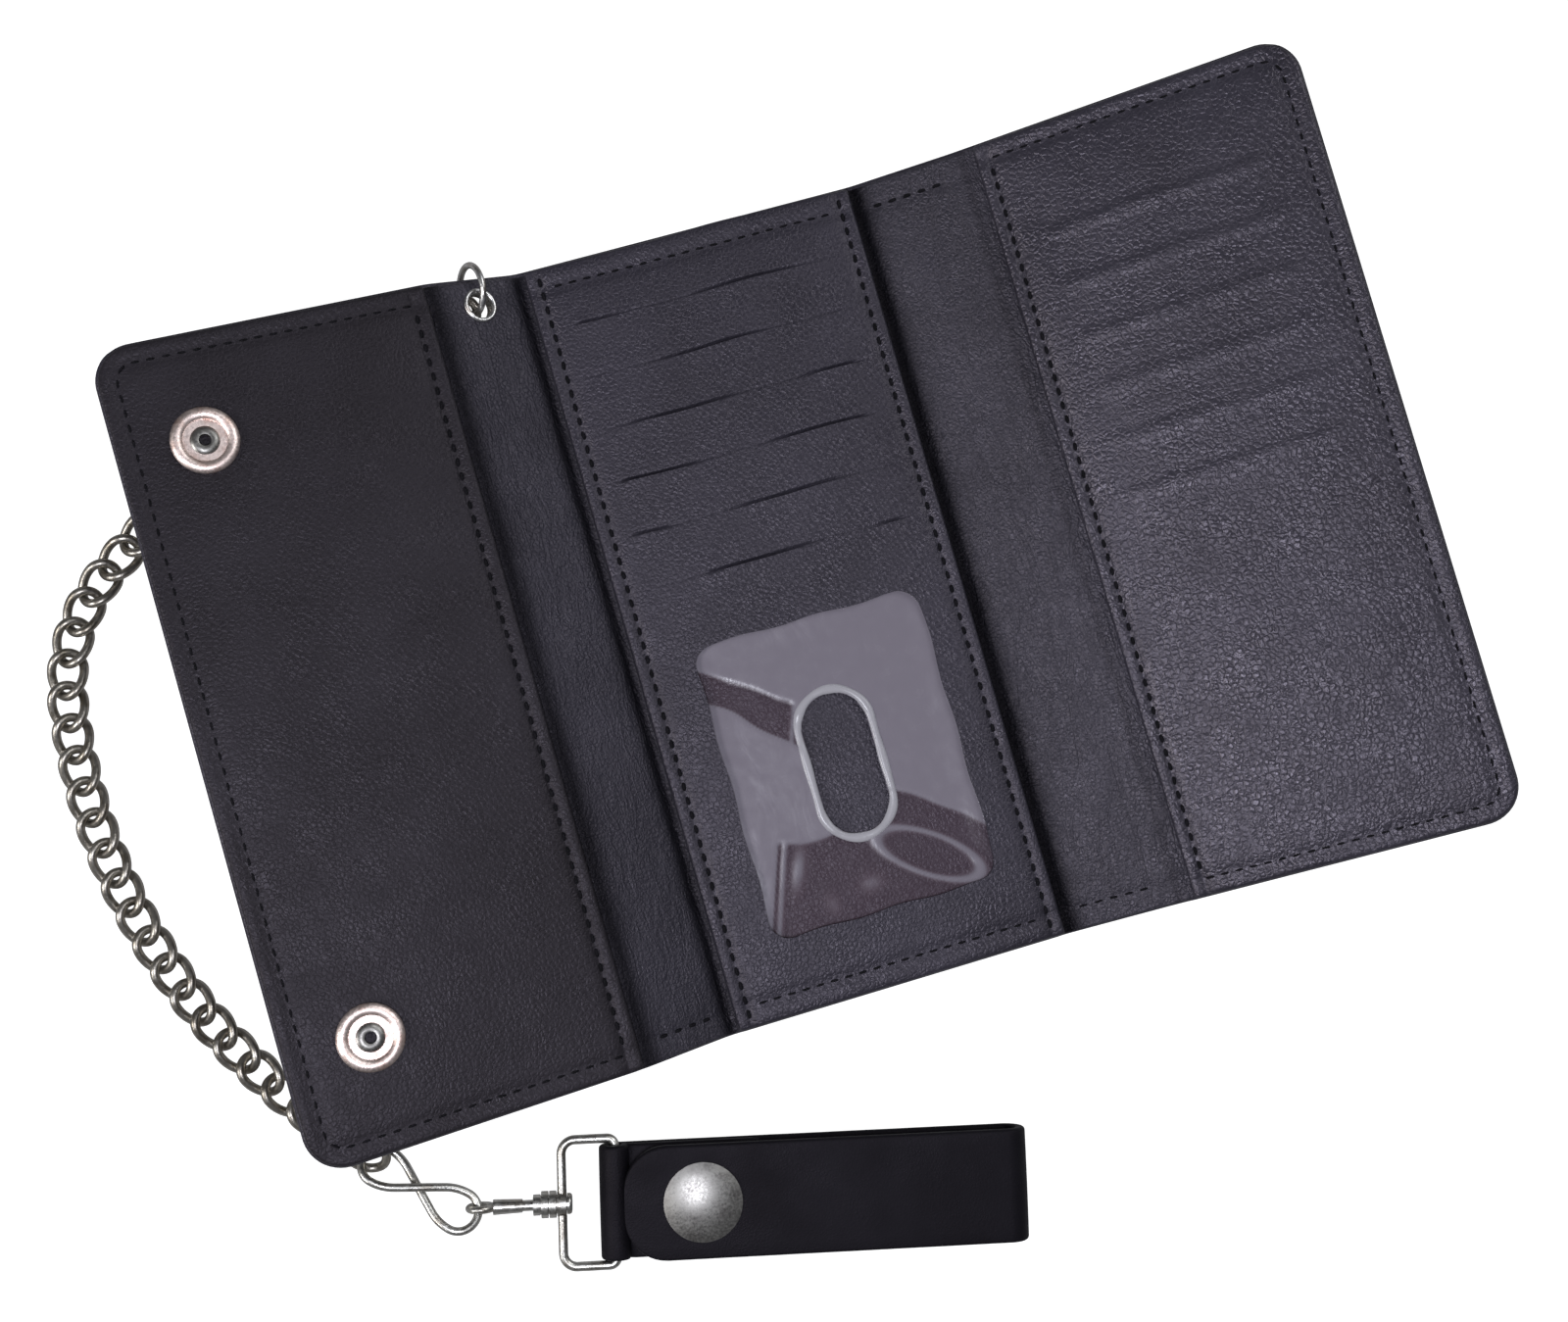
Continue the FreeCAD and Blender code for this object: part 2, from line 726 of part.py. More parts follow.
def socket_outline():
    """A socket that sits on z = 0: a flat floor with a post hole and a rounded ring round its mouth."""
    radius, height, mouth = size.socket_radius, size.socket_height, size.socket_mouth_radius
    floor, edge = size.socket_floor, size.snap_edge_round
    hole = size.snap_hole_radius + 0.05
    crown = (radius + mouth) / 2
    return [
        (hole, 0), (radius - edge, 0), (radius, edge), (radius, height * 0.55),
        ((radius, height * 0.55), (crown, height), (mouth, height * 0.7)),
        (mouth, floor), (hole, floor),
    ]


def stud_outline():
    """A stud that stands on z = 0: a flange and a hollow round head with a rolled top."""
    radius, head_radius, top = size.stud_radius, size.stud_head_radius, size.stud_head_height
    flange, wall, post = size.stud_flange, size.stud_wall, size.stud_hole_radius
    inner, neck = head_radius - wall, head_radius - wall / 3
    return [
        (post, 0), (radius - 0.2, 0), (radius, 0.2), (radius - 0.1, flange), (neck, flange),
        (neck, flange + 0.2), (head_radius, top - 0.4),
        ((head_radius, top - 0.4), (head_radius - wall / 2, top), (inner, top - 0.3)),
        (inner, flange), (post, flange),
    ]


def back_post_outline(reach):
    """An eyelet-shaped back post: a flange on z = 0 and a tube that reaches up through the stud."""
    radius, flange = size.back_post_radius, size.back_post_flange
    post, bore = size.back_post_tube, size.post_bore
    flare = post + size.back_post_lip
    return [
        (bore, 0), (radius, 0), (radius, flange), (post, flange), (post, reach),
        (flare, reach), (flare, reach + 0.15), (bore + 0.2, reach + 0.35), (bore, reach + 0.2),
    ]


def wallet_snaps():
    """Caps and sockets on the left panel, studs and their back posts on the right panel."""
    pitch = "2 * Sizes.snap_y"
    face_top = (size.shell_thickness + size.bill_gap + size.lining_thickness
                + size.left_pocket_depth + size.face_thickness)
    left_x, right_x, y = -size.snap_from_left_fold, size.snap_from_right_fold, -size.snap_y
    floor = size.socket_floor + 0.05
    turned_part("snap_caps", cap_outline(size.cap_radius, size.cap_height, face_top + floor),
                at(LEFT_PANEL, left_x, y, -size.snap_play), pitch)
    turned_part("snap_sockets", socket_outline(), at(LEFT_PANEL, left_x, y, face_top), pitch)
    # the studs stand on the outside of the right panel, so their axis points down out of it
    upside_down = Placement(Vector(), turned(180, X_AXIS))
    stud_place = at(RIGHT_PANEL, right_x, -y, 0).multiply(upside_down)
    turned_part("snap_studs", stud_outline(), stud_place, pitch)
    flange_top = size.shell_thickness + size.back_post_flange + size.snap_play
    post_place = at(RIGHT_PANEL, right_x, -y, flange_top).multiply(upside_down)
    reach = flange_top + size.stud_flange + size.snap_play
    turned_part("snap_back_posts", back_post_outline(reach), post_place, pitch)


def eyelet():
    """A two-part eyelet through the left gusset, near the top edge."""
    thickness = size.shell_thickness + size.gusset_strip_thickness
    hole, flange = size.eyelet_hole_radius, size.eyelet_radius
    low, lip = -size.washer_thickness, size.eyelet_lip
    tube = hole + size.eyelet_wall
    crown = ((flange + hole) / 2, thickness + size.eyelet_crown)
    outline = [
        (hole, low), (tube, low), (tube, thickness), (flange, thickness),
        ((flange, thickness + lip), crown, (hole, thickness + lip)),
    ]
    place = at(LEFT_GUSSET, -size.eyelet_from_fold, size.eyelet_y, 0)
    turned_part("chain_eyelet", outline, place)
    play = size.snap_play
    inner = tube + play
    washer = [(inner, low), (flange, low), (flange, -play), (inner, -play)]
    turned_part("eyelet_washer", washer, place)


# Ring, chain and figure-eight link

def round_wire(edges, gauge):
    """Round wire bent along these joined edges."""
    start = edges[0].valueAt(edges[0].FirstParameter)
    direction = edges[0].tangentAt(edges[0].FirstParameter)
    section = Part.Wire(Part.makeCircle(gauge / 2, start, direction))
    return Part.Wire(edges).makePipe(Part.Face(section))


def arc_from(start, corner, end):
    """An arc from start to end whose end tangents meet at the corner."""
    middle = (start + end) * 0.5
    half_turn = math.atan2((corner - middle).Length, (end - start).Length / 2)
    ratio = math.tan(half_turn / 2) / math.tan(half_turn)
    return Part.Arc(start, middle + (corner - middle) * ratio, end).toShape()


def arc_edges(point_at, start, end, steps):
    """Arcs that follow point_at(angle) smoothly, two for each step from start to end in radians."""
    near = 1e-4
    edges = []
    for i in range(steps):
        angles = [start + (end - start) * k / steps for k in (i, i + 1)]
        first, last = (point_at(a) for a in angles)
        leave, arrive = ((point_at(a + near) - point_at(a - near)).normalize() for a in angles)
        chord, bend = last - first, 1 - leave.dot(arrive)
        along = chord.dot(leave + arrive)
        reach = (math.sqrt(along ** 2 + 2 * bend * chord.dot(chord)) - along) / (2 * bend)
        first_corner, last_corner = first + leave * reach, last - arrive * reach
        joint = (first_corner + last_corner) * 0.5
        edges += [arc_from(first, first_corner, joint), arc_from(joint, last_corner, last)]
    return edges


def looped_wire(point_at, gauge, symmetry_axis, start=0.0):
    """A closed wire form from one half and the same half turned by 180 degrees about its symmetry axis."""
    half = round_wire(arc_edges(point_at, start, start + math.pi, 4), gauge)
    other = half.copy()
    other.rotate(Vector(), symmetry_axis, 180)
    return half.fuse(other)


def link_curve(angle):
    """The centre line of a curb link: an ellipse whose ends are twisted, so that links lie flat."""
    return Vector(
        size.link_half_length * math.cos(angle),
        size.link_half_width * math.sin(angle),
        size.link_twist * math.sin(2 * angle),
    )


def eight_curve(angle):
    """The centre line of the figure-eight link, with one strand passing over the other in the middle."""
    return Vector(
        size.eight_half_length * math.cos(angle),
        size.eight_half_width * math.sin(2 * angle),
        size.eight_cross_over * math.sin(angle),
    )


def chain_bends():
    names = ("first", "second", "third", "fourth")
    return [(getattr(size, f"{n}_bend_radius"), getattr(size, f"{n}_bend_angle")) for n in names]


def chain_point(distance):
    """The chain's place after this distance along its path of arcs, all turning the same way."""
    heading = size.chain_start_heading
    point = Vector(size.chain_start_x, size.chain_start_y, size.chain_height)
    for radius, angle in chain_bends():
        step = min(distance, radius * radians(angle))
        turn = math.degrees(step / radius)
        chord = 2 * radius * math.sin(radians(turn) / 2)
        middle = radians(heading + turn / 2)
        point = point + Vector(math.cos(middle), math.sin(middle), 0) * chord
        heading += turn
        distance -= step
    return Placement(point, turned(heading, Z_AXIS))


def ring_place():
    """The ring's place: upright to the gusset, through the eyelet and round the wallet's top edge."""
    turn = radians(size.ring_turn)
    gusset = LEFT_GUSSET.Rotation
    up = gusset.multVec(Z_AXIS)
    reach = Y_AXIS * math.cos(turn) - gusset.multVec(X_AXIS) * math.sin(turn)
    middle = (size.shell_thickness + size.gusset_strip_thickness) / 2
    hole = LEFT_GUSSET.multVec(Vector(-size.eyelet_from_fold, size.eyelet_y, middle))
    centre = hole + reach * size.ring_reach - up * size.ring_drop
    return Placement(centre, Rotation(reach, up, reach.cross(up), "XYZ"))


def chain():
    ring = doc.addObject("Part::Torus", "chain_ring")
    ring.setExpression("Radius1", "Sizes.ring_radius")
    ring.setExpression("Radius2", "Sizes.ring_gauge / 2")
    ring.Placement = ring_place()
    link = looped_wire(link_curve, size.link_gauge, Z_AXIS)
    feature("chain_end_link", link, Placement(
        Vector(size.end_link_x, size.end_link_y, size.end_link_height),
        tilted(size.end_link_heading, size.end_link_pitch, size.end_link_roll)))
    length = sum(radius * radians(angle) for radius, angle in chain_bends())
    count, group = int(size.link_count), int(size.links_per_run)
    places = [chain_point(length * i / (count - 1)) for i in range(count)]
    for number, first in enumerate(range(0, count, group), start=1):
        run = []
        for place in places[first:first + group]:
            copy = link.copy()
            copy.Placement = places[first].inverse().multiply(place)
            run.append(copy)
        feature(f"chain_run_{number:02d}", Part.makeCompound(run), places[first])
    eight = looped_wire(eight_curve, size.eight_gauge, Y_AXIS, math.pi / 2)
    feature("figure_eight_link", eight, Placement(
        Vector(size.eight_x, size.eight_y, size.eight_height),
        tilted(size.eight_heading, size.eight_pitch, size.eight_roll)))


# Swivel and belt strap: both lie along the swivel's axis, which is +X of this frame

SWIVEL = Placement(
    Vector(size.swivel_x, size.swivel_y, size.swivel_height), turned(size.swivel_heading, Z_AXIS))
ALONG_X = Rotation(Y_AXIS, 90)


def swivel():
    """The eye with its pin, and the barrel and rectangular frame that turn on the pin."""
    wire, eye = size.eye_gauge / 2, size.eye_radius
    pin, barrel_end = size.pin_radius, size.barrel_start + size.barrel_length
    loop = Part.makeTorus(eye, wire, Vector(), Y_AXIS)
    cone_start, cone_end = size.cone_start, size.barrel_start - size.cone_gap
    cone = Part.makeCone(size.cone_start_radius, size.cone_end_radius, cone_end - cone_start,
                         Vector(cone_start, 0, 0), X_AXIS)
    pin_end = barrel_end + size.frame_gauge + 0.1
    shank = Part.makeCylinder(pin, pin_end - cone_end, Vector(cone_end, 0, 0), X_AXIS)
    feature("swivel_eye", loop.fuse([cone, shank]).removeSplitter(), SWIVEL)
    head = Part.makeCylinder(size.rivet_head_radius, size.rivet_head_height, Vector(pin_end, 0, 0), X_AXIS)
    rim = head.Edges[0]
    feature("swivel_rivet_head", head.makeFillet(size.rivet_head_height * 0.6, [rim]), SWIVEL)

    def disc(radius, length, start):
        """A cylinder along the swivel's axis."""
        return Part.makeCylinder(radius, length, Vector(start, 0, 0), X_AXIS)

    widest, start, rib = size.barrel_radius, size.barrel_start, size.barrel_length / 3
    bore = disc(pin + size.pin_clearance, size.barrel_length * 5, start - size.barrel_length)
    radii = (widest - size.barrel_step, widest, widest)
    ribs = [disc(radius, rib - size.rib_gap, start + rib * i) for i, radius in enumerate(radii)]
    core = disc(widest - size.rib_depth, size.barrel_length, start)
    boss = disc(size.boss_radius, size.frame_gauge, barrel_end - 0.05)
    barrel = core.fuse(ribs + [boss]).cut(bore)
    feature("swivel_barrel", barrel.removeSplitter(), SWIVEL)
    loop_wire = rectangular_loop(barrel_end, size.frame_length, size.frame_width)
    socket = disc(size.boss_radius, size.frame_gauge + 1, barrel_end - 1)
    feature("swivel_frame", loop_wire.cut(socket), SWIVEL)


def rectangular_loop(start, length, width):
    """Round wire bent to a rectangle in the XY plane whose outer left side is at x = start."""
    gauge = size.frame_gauge
    left, right = start + gauge / 2, start + length - gauge / 2
    top = width / 2 - gauge / 2
    corners = [Vector(left, -top), Vector(right, -top), Vector(right, top), Vector(left, top)]
    bends = [size.frame_near_corner, size.frame_far_corner, size.frame_far_corner, size.frame_near_corner]
    bits = []
    for i, (corner, bend) in enumerate(zip(corners, bends)):
        following, next_bend = corners[(i + 1) % 4], bends[(i + 1) % 4]
        direction = (following - corner).normalize()
        inward = (corner - corners[i - 1]).normalize() * -1 + direction
        quarter = Part.makeTorus(bend, gauge / 2, Vector(), Z_AXIS, -180, 180, 90)
        quarter.Placement = Placement(corner + inward * bend, turned(180 + 90 * i, Z_AXIS))
        bits.append(quarter)
        straight = (following - corner).Length - bend - next_bend
        bits.append(Part.makeCylinder(gauge / 2, straight, corner + direction * bend, direction))
    return bits[0].fuse(bits[1:]).removeSplitter()


def ribbon(start, heading, moves, thickness):
    """The outline of a strip of even thickness. A move is a straight length or a (radius, angle) bend."""
    point, direction = start, heading
    left_side, right_side = [], []

    def sides(at_point, at_direction):
        normal = Vector(-math.sin(radians(at_direction)), math.cos(radians(at_direction)))
        return at_point + normal * (thickness / 2), at_point - normal * (thickness / 2)

    def advance(amount):
        nonlocal point, direction
        if isinstance(amount, tuple):
            radius, angle = amount
            chord = 2 * radius * math.sin(radians(abs(angle)) / 2)
            middle = radians(direction + angle / 2)
            point = point + Vector(math.cos(middle), math.sin(middle)) * chord
            direction += angle
        else:
            point = point + Vector(math.cos(radians(direction)), math.sin(radians(direction))) * amount

    first = sides(point, direction)
    for move in moves:
        before = sides(point, direction)
        half = (move[0], move[1] / 2) if isinstance(move, tuple) else move / 2
        advance(half)
        middle = sides(point, direction)
        advance(half)
        after = sides(point, direction)
        for side, edges in ((0, left_side), (1, right_side)):
            if isinstance(move, tuple):
                edges.append(Part.Arc(before[side], middle[side], after[side]))
            else:
                edges.append(Part.LineSegment(before[side], after[side]))
    last = sides(point, direction)
    ends = [Part.LineSegment(first[0], first[1]), Part.LineSegment(last[0], last[1])]
    return left_side + right_side + ends


def strap_layer(label, start, heading, moves):
    """One strip of strap leather, drawn in its side view and as wide as the strap."""
    body = new_body(label, SWIVEL)
    sketch = new_sketch(body, "side_view", role="XZ_Plane")
    sketch.addGeometry(ribbon(start, heading, moves, size.strap_thickness))
    doc.recompute()
    strip = body.newObject("PartDesign::Pad", f"{label}_strip")
    strip.Profile = sketch
    strip.setExpression("Length", "Sizes.strap_width")
    strip.Midplane = True
    doc.recompute()
    return body


def strap():
    """The belt strap: its lower half wraps round the frame's far bar, its upper half folds back over it."""
    thickness, gap = size.strap_thickness, size.layer_gap
    wrap = size.strap_wrap_radius + thickness / 2
    bar = size.barrel_start + size.barrel_length + size.frame_length - size.frame_gauge / 2
    # heights are those of each layer's middle, counted from the swivel's axis, where the frame's bar is too
    lower = -wrap
    tail = lower + thickness + gap
    upper = tail + thickness + size.strap_gap
    fold = (upper - lower) / 2
    fold_x = bar - wrap - thickness / 2 + size.strap_length - fold - thickness / 2
    snap_x = bar + size.strap_snap_from_bar

    # the tail rises from the lower layer by a reversed bend, which meets the wrap at this angle
    rise = math.degrees(math.acos((wrap + tail) / (2 * wrap)))
    tail_end = snap_x + size.strap_tail_past_snap
    tail_length = tail_end - bar - 2 * wrap * math.sin(radians(rise))
    quarter = 90 - size.fold_split
    strap_lower = strap_layer(
        "strap_lower", Vector(tail_end, tail), 180,
        [tail_length, (wrap, -rise), (wrap, 180 + rise), fold_x - bar, (fold, quarter)],
    )
    flap_end = fold_x - size.strap_flap_length
    strap_upper = strap_layer(
        "strap_upper", Vector(flap_end, upper), 0, [size.strap_flap_length, (fold, -quarter)])
    round_corners(strap_upper, "corners", "Sizes.strap_corner_radius", lambda point: point.x < snap_x)

    snap_place = f"{snap_x}"
    for body in (strap_lower, strap_upper):
        drill(body, "snap_hole", [(snap_place, "0")], "Sizes.snap_hole_radius", low="-10")
    underside = lower - thickness / 2
    recess = new_sketch(strap_lower, "recess", height=f"{underside} - 1")
    circle(recess, snap_place, "0", "Sizes.back_post_radius + Sizes.recess_play")
    pocket_up(strap_lower, "recess_cut", recess, "1 + Sizes.back_post_flange + Sizes.snap_play * 2")

    upside_down = Placement(Vector(), turned(180, X_AXIS))
    flap_top, flap_low = upper + thickness / 2, upper - thickness / 2
    tail_top = tail + thickness / 2
    floor = size.socket_floor + 0.05
    play = size.snap_play

    def snap_place_at(height):
        return at(SWIVEL, snap_x, 0, height)

    cap = cap_outline(size.strap_cap_radius, size.strap_cap_height, thickness + floor + play)
    turned_part("strap_snap_cap", cap, snap_place_at(flap_top + play).multiply(upside_down))
    turned_part("strap_snap_socket", socket_outline(), snap_place_at(flap_low).multiply(upside_down))
    turned_part("strap_snap_stud", stud_outline(), snap_place_at(tail_top))
    reach = tail_top - underside + size.stud_flange + play
    turned_part("strap_back_post", back_post_outline(reach), snap_place_at(underside + play))


# Build every sub-part, check them all, then write them

def sub_parts():
    """The objects that are pieces of the wallet: bodies, compounds and single shapes with no parent."""
    kinds = ("PartDesign::Body", "Part::Feature", "Part::Compound", "Part::Torus")
    return [o for o in doc.Objects if o.TypeId in kinds]


def check_document():
    for item in doc.Objects:
        if "Invalid" in item.State or "Error" in item.State:
            raise RuntimeError(f"{item.Name} failed: {item.State}")
    for part in sub_parts():
        shape = part.Shape
        if shape.isNull() or not shape.isValid() or not shape.Solids:
            raise RuntimeError(f"{part.Label} has no valid solid")


def write_parts():
    os.makedirs("parts", exist_ok=True)
    for part in sub_parts():
        part.Shape.exportStep(f"parts/{part.Label}.step")
        print(f"{part.Label}: {len(part.Shape.Solids)} solids, {part.Shape.Volume:.1f} mm3")


outer_leather()
gussets()
linings()
faces()
card_pockets()
hidden_pockets()
window()
wallet_snaps()
eyelet()
chain()
swivel()
strap()
doc.recompute()
check_document()
write_parts()
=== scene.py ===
"""The looks of an open tri-fold chain wallet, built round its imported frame.

Lengths are written in millimetres and turned into metres where a mesh is made. Leather sheets are drawn in
wallet coordinates: s runs across the open wallet from left to right and follows the outer leather through its
folds, y runs up to the top edge, and h is the height above the outer leather's underside.
"""

import json
import math

import bmesh
import bpy
import numpy as np
from mathutils import Matrix, Vector


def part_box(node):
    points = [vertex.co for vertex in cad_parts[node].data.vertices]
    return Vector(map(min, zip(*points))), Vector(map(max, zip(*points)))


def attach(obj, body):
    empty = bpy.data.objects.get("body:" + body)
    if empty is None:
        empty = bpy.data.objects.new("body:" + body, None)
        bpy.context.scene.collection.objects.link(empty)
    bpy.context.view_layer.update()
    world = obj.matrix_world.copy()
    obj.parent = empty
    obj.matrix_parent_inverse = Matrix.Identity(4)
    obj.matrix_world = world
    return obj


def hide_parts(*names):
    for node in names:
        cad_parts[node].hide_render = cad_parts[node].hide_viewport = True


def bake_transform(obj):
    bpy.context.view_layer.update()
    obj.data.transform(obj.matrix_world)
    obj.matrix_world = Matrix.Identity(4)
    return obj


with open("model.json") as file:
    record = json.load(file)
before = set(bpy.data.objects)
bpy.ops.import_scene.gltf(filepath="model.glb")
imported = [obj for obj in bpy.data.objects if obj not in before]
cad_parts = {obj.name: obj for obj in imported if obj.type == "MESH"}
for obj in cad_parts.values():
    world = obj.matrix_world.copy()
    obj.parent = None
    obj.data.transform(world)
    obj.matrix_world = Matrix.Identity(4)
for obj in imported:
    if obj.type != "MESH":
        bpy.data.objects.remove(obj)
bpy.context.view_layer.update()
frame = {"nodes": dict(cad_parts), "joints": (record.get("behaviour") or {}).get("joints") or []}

MM = 0.001
joints = {joint["name"]: joint for joint in frame["joints"]}


def joint_place(name):
    """A joint's place in millimetres."""
    return Vector(joints[name]["pos_m"]) / MM


# Sizes of the wallet, in millimetres and degrees

HEIGHT = 166.0
HALF = HEIGHT / 2
SHELL = 1.2
LINING_LOW = 2.0
FACE_LOW = 2.5
LEFT_TOP, MIDDLE_TOP, RIGHT_TOP = 3.9, 5.1, 4.5
STRIP_TOP, TUCKED = 2.2, 1.92
FOLD_HALF = 2.5
FACE_INSET = 0.5
MOUTH_DROP = 1.0
CORNER = 8.0

inner_left, outer_left = joint_place("fold_left"), joint_place("fold_left_panel")
inner_right, outer_right = joint_place("fold_right"), joint_place("fold_right_panel")
LEFT_FOLD, RIGHT_FOLD = inner_left.x, inner_right.x
LEFT_GUSSET = (outer_left - inner_left).length
RIGHT_GUSSET = (outer_right - inner_right).length
LEFT_OUTER_FOLD, RIGHT_OUTER_FOLD = LEFT_FOLD - LEFT_GUSSET, RIGHT_FOLD + RIGHT_GUSSET
LEFT_WIDTH, RIGHT_WIDTH = 68.0, 73.0
LEFT_END, RIGHT_END = LEFT_OUTER_FOLD - LEFT_WIDTH, RIGHT_OUTER_FOLD + RIGHT_WIDTH
LEFT_PANEL_SLOPE, RIGHT_PANEL_SLOPE = 12.0, 18.5

# The inner faces: their ends in y, and each face's span in s

INNER_LOW, INNER_HIGH = -HALF + FACE_INSET, HALF - MOUTH_DROP
LEFT_SPAN = (LEFT_END + FACE_INSET, LEFT_OUTER_FOLD - 1.2)
MIDDLE_SPAN = (LEFT_FOLD + 1.8, RIGHT_FOLD - 0.8)
RIGHT_SPAN = (RIGHT_OUTER_FOLD + 4.8, RIGHT_END - FACE_INSET)


def slope_between(low, high):
    return math.degrees(math.atan2(high.z - low.z, abs(high.x - low.x)))


# The outer leather's top line, seen from the bottom edge. It turns smoothly at each fold.

FOLDS = (LEFT_OUTER_FOLD, LEFT_FOLD, RIGHT_FOLD, RIGHT_OUTER_FOLD)
DIRECTIONS = (
    -LEFT_PANEL_SLOPE, -slope_between(inner_left, outer_left), 0.0,
    slope_between(inner_right, outer_right), RIGHT_PANEL_SLOPE,
)


def smooth(value, low, high):
    """0 below low, 1 above high, and an S-curve between them."""
    t = np.clip((value - low) / (high - low), 0, 1)
    return t * t * (3 - 2 * t)


def fold_line():
    """Samples of s with the top line's x, z and direction."""
    s = np.arange(LEFT_END - 5, RIGHT_END + 5, 0.05)
    direction = np.full(len(s), DIRECTIONS[0])
    for fold, before, after in zip(FOLDS, DIRECTIONS, DIRECTIONS[1:]):
        direction += (after - before) * smooth(s, fold - FOLD_HALF, fold + FOLD_HALF)
    angle = np.radians(direction)
    x = np.concatenate([[0], np.cumsum(np.cos((angle[1:] + angle[:-1]) / 2) * 0.05)])
    z = np.concatenate([[0], np.cumsum(np.sin((angle[1:] + angle[:-1]) / 2) * 0.05)])
    middle = np.searchsorted(s, 0.0)
    return s, x - x[middle] + s[middle], z - z[middle] + SHELL, angle


LINE = fold_line()


def place(s, y, h):
    """Wallet coordinates to points in metres."""
    samples, line_x, line_z, line_angle = LINE
    x, z, angle = (np.interp(s, samples, line) for line in (line_x, line_z, line_angle))
    rise = h - SHELL
    return np.stack([x - np.sin(angle) * rise, y + 0 * x, z + np.cos(angle) * rise], axis=-1) * MM


def place_vector(s, y, h):
    return Vector(place(np.array([s]), np.array([y]), np.array([h]))[0])


# Meshes

def add_object(name, data):
    made = bpy.data.objects.new(name, data)
    bpy.context.scene.collection.objects.link(made)
    return made


def new_piece(name, points, faces, material):
    """A smooth mesh object in the frame, with its material."""
    mesh = bpy.data.meshes.new(name)
    mesh.from_pydata([tuple(p) for p in points], [], faces)
    piece = add_object(name, mesh)
    mesh.materials.append(material)
    mesh.polygons.foreach_set("use_smooth", [True] * len(mesh.polygons))
    mesh.update()
    return piece


def tidy(piece, sharp=50):
    """Joins doubled points, turns faces outward and keeps hard edges hard."""
    work = bmesh.new()
    work.from_mesh(piece.data)
    bmesh.ops.remove_doubles(work, verts=work.verts, dist=2e-6)
    bmesh.ops.recalc_face_normals(work, faces=work.faces)
    work.to_mesh(piece.data)
    work.free()
    piece.data.set_sharp_from_angle(angle=math.radians(sharp))
    return piece


def bake(piece):
    """Applies the piece's modifiers."""
    evaluated = piece.evaluated_get(bpy.context.evaluated_depsgraph_get())
    mesh = bpy.data.meshes.new_from_object(evaluated)
    piece.modifiers.clear()
    piece.data = mesh


def cut(piece, cutter):
    """Takes the cutter's shape out of the piece, and removes the cutter."""
    modifier = piece.modifiers.new("cut", "BOOLEAN")
    modifier.operation = "DIFFERENCE"
    modifier.solver = "EXACT"
    modifier.object = cutter
    bpy.context.view_layer.update()
    bake(piece)
    bpy.data.objects.remove(cutter)


def places_of(piece):
    """The piece's points in millimetres, one row each."""
    places = np.empty(len(piece.data.vertices) * 3)
    piece.data.vertices.foreach_get("co", places)
    return places.reshape(-1, 3) / MM


def store(piece, name, values):
    """Stores a number for each of the piece's points, for its material to read."""
    attribute = piece.data.attributes.new(name, "FLOAT", "POINT")
    attribute.data.foreach_set("value", values)


def arc(centre, radius, start, end, count=10):
    """Points of an arc, from start to end in degrees."""
    angles = [math.radians(start + (end - start) * i / count) for i in range(count + 1)]
    return [(centre[0] + radius * math.cos(a), centre[1] + radius * math.sin(a)) for a in angles]


def circle(sides, radius=1.0):
    return arc((0, 0), radius, 0, 360, sides)[:-1]


def grid_faces(rows, columns, start=0, flip=False):
    """Quads of a grid whose points are numbered row by row."""
    faces = []
    for i in range(rows - 1):
        for j in range(columns - 1):
            a = start + i * columns + j
            quad = (a, a + columns, a + columns + 1, a + 1)
            faces.append(quad[::-1] if flip else quad)
    return faces


def tube_faces(rings, sides, start=0, closed=False):
    """Quads of a tube whose rings of points follow each other, closed into a loop or capped."""
    faces = []
    for i in range(rings if closed else rings - 1):
        for j in range(sides):
            here, there = start + i * sides, start + (i + 1) % rings * sides
            k = (j + 1) % sides
            faces.append((here + j, here + k, there + k, there + j))
    if not closed:
        faces.append(tuple(start + j for j in reversed(range(sides))))
        faces.append(tuple(start + (rings - 1) * sides + j for j in range(sides)))
    return faces


def steps(low, high, step, near=()):
    """Coordinates from low to high, closer together at both ends and round the places in near."""
    edge = (0, 0.06, 0.2, 0.45, 0.8)
    count = max(1, round((high - low - 2 * edge[-1]) / step))
    values = [low + e for e in edge] + [high - e for e in edge]
    values += list(np.linspace(low + edge[-1], high - edge[-1], count + 1))
    for spot in near:
        values += [spot + offset for offset in (-0.75, -0.4, -0.16, 0, 0.16, 0.4, 0.75)]
    kept = []
    for value in sorted(values):
        if not kept or value - kept[-1] > 0.05:
            kept.append(value)
    kept[-1] = high
    return np.array(kept)


def round_corner(s, y, corner_s, corner_y, side_s, side_y, radius):
    """Bends the grid's square corner to a quarter circle."""
    a = (s - (corner_s - side_s * radius)) * side_s / radius
    b = (y - (corner_y - side_y * radius)) * side_y / radius
    inside = (a > 0) & (b > 0)
    reach = np.maximum(a, b)
    ratio = np.divide(np.minimum(a, b), reach, out=np.zeros_like(a), where=inside)
    angle = np.where(a >= b, ratio * math.pi / 4, math.pi / 2 - ratio * math.pi / 4)
    new_s = corner_s - side_s * radius + side_s * radius * reach * np.cos(angle)
    new_y = corner_y - side_y * radius + side_y * radius * reach * np.sin(angle)
    return np.where(inside, new_s, s), np.where(inside, new_y, y)


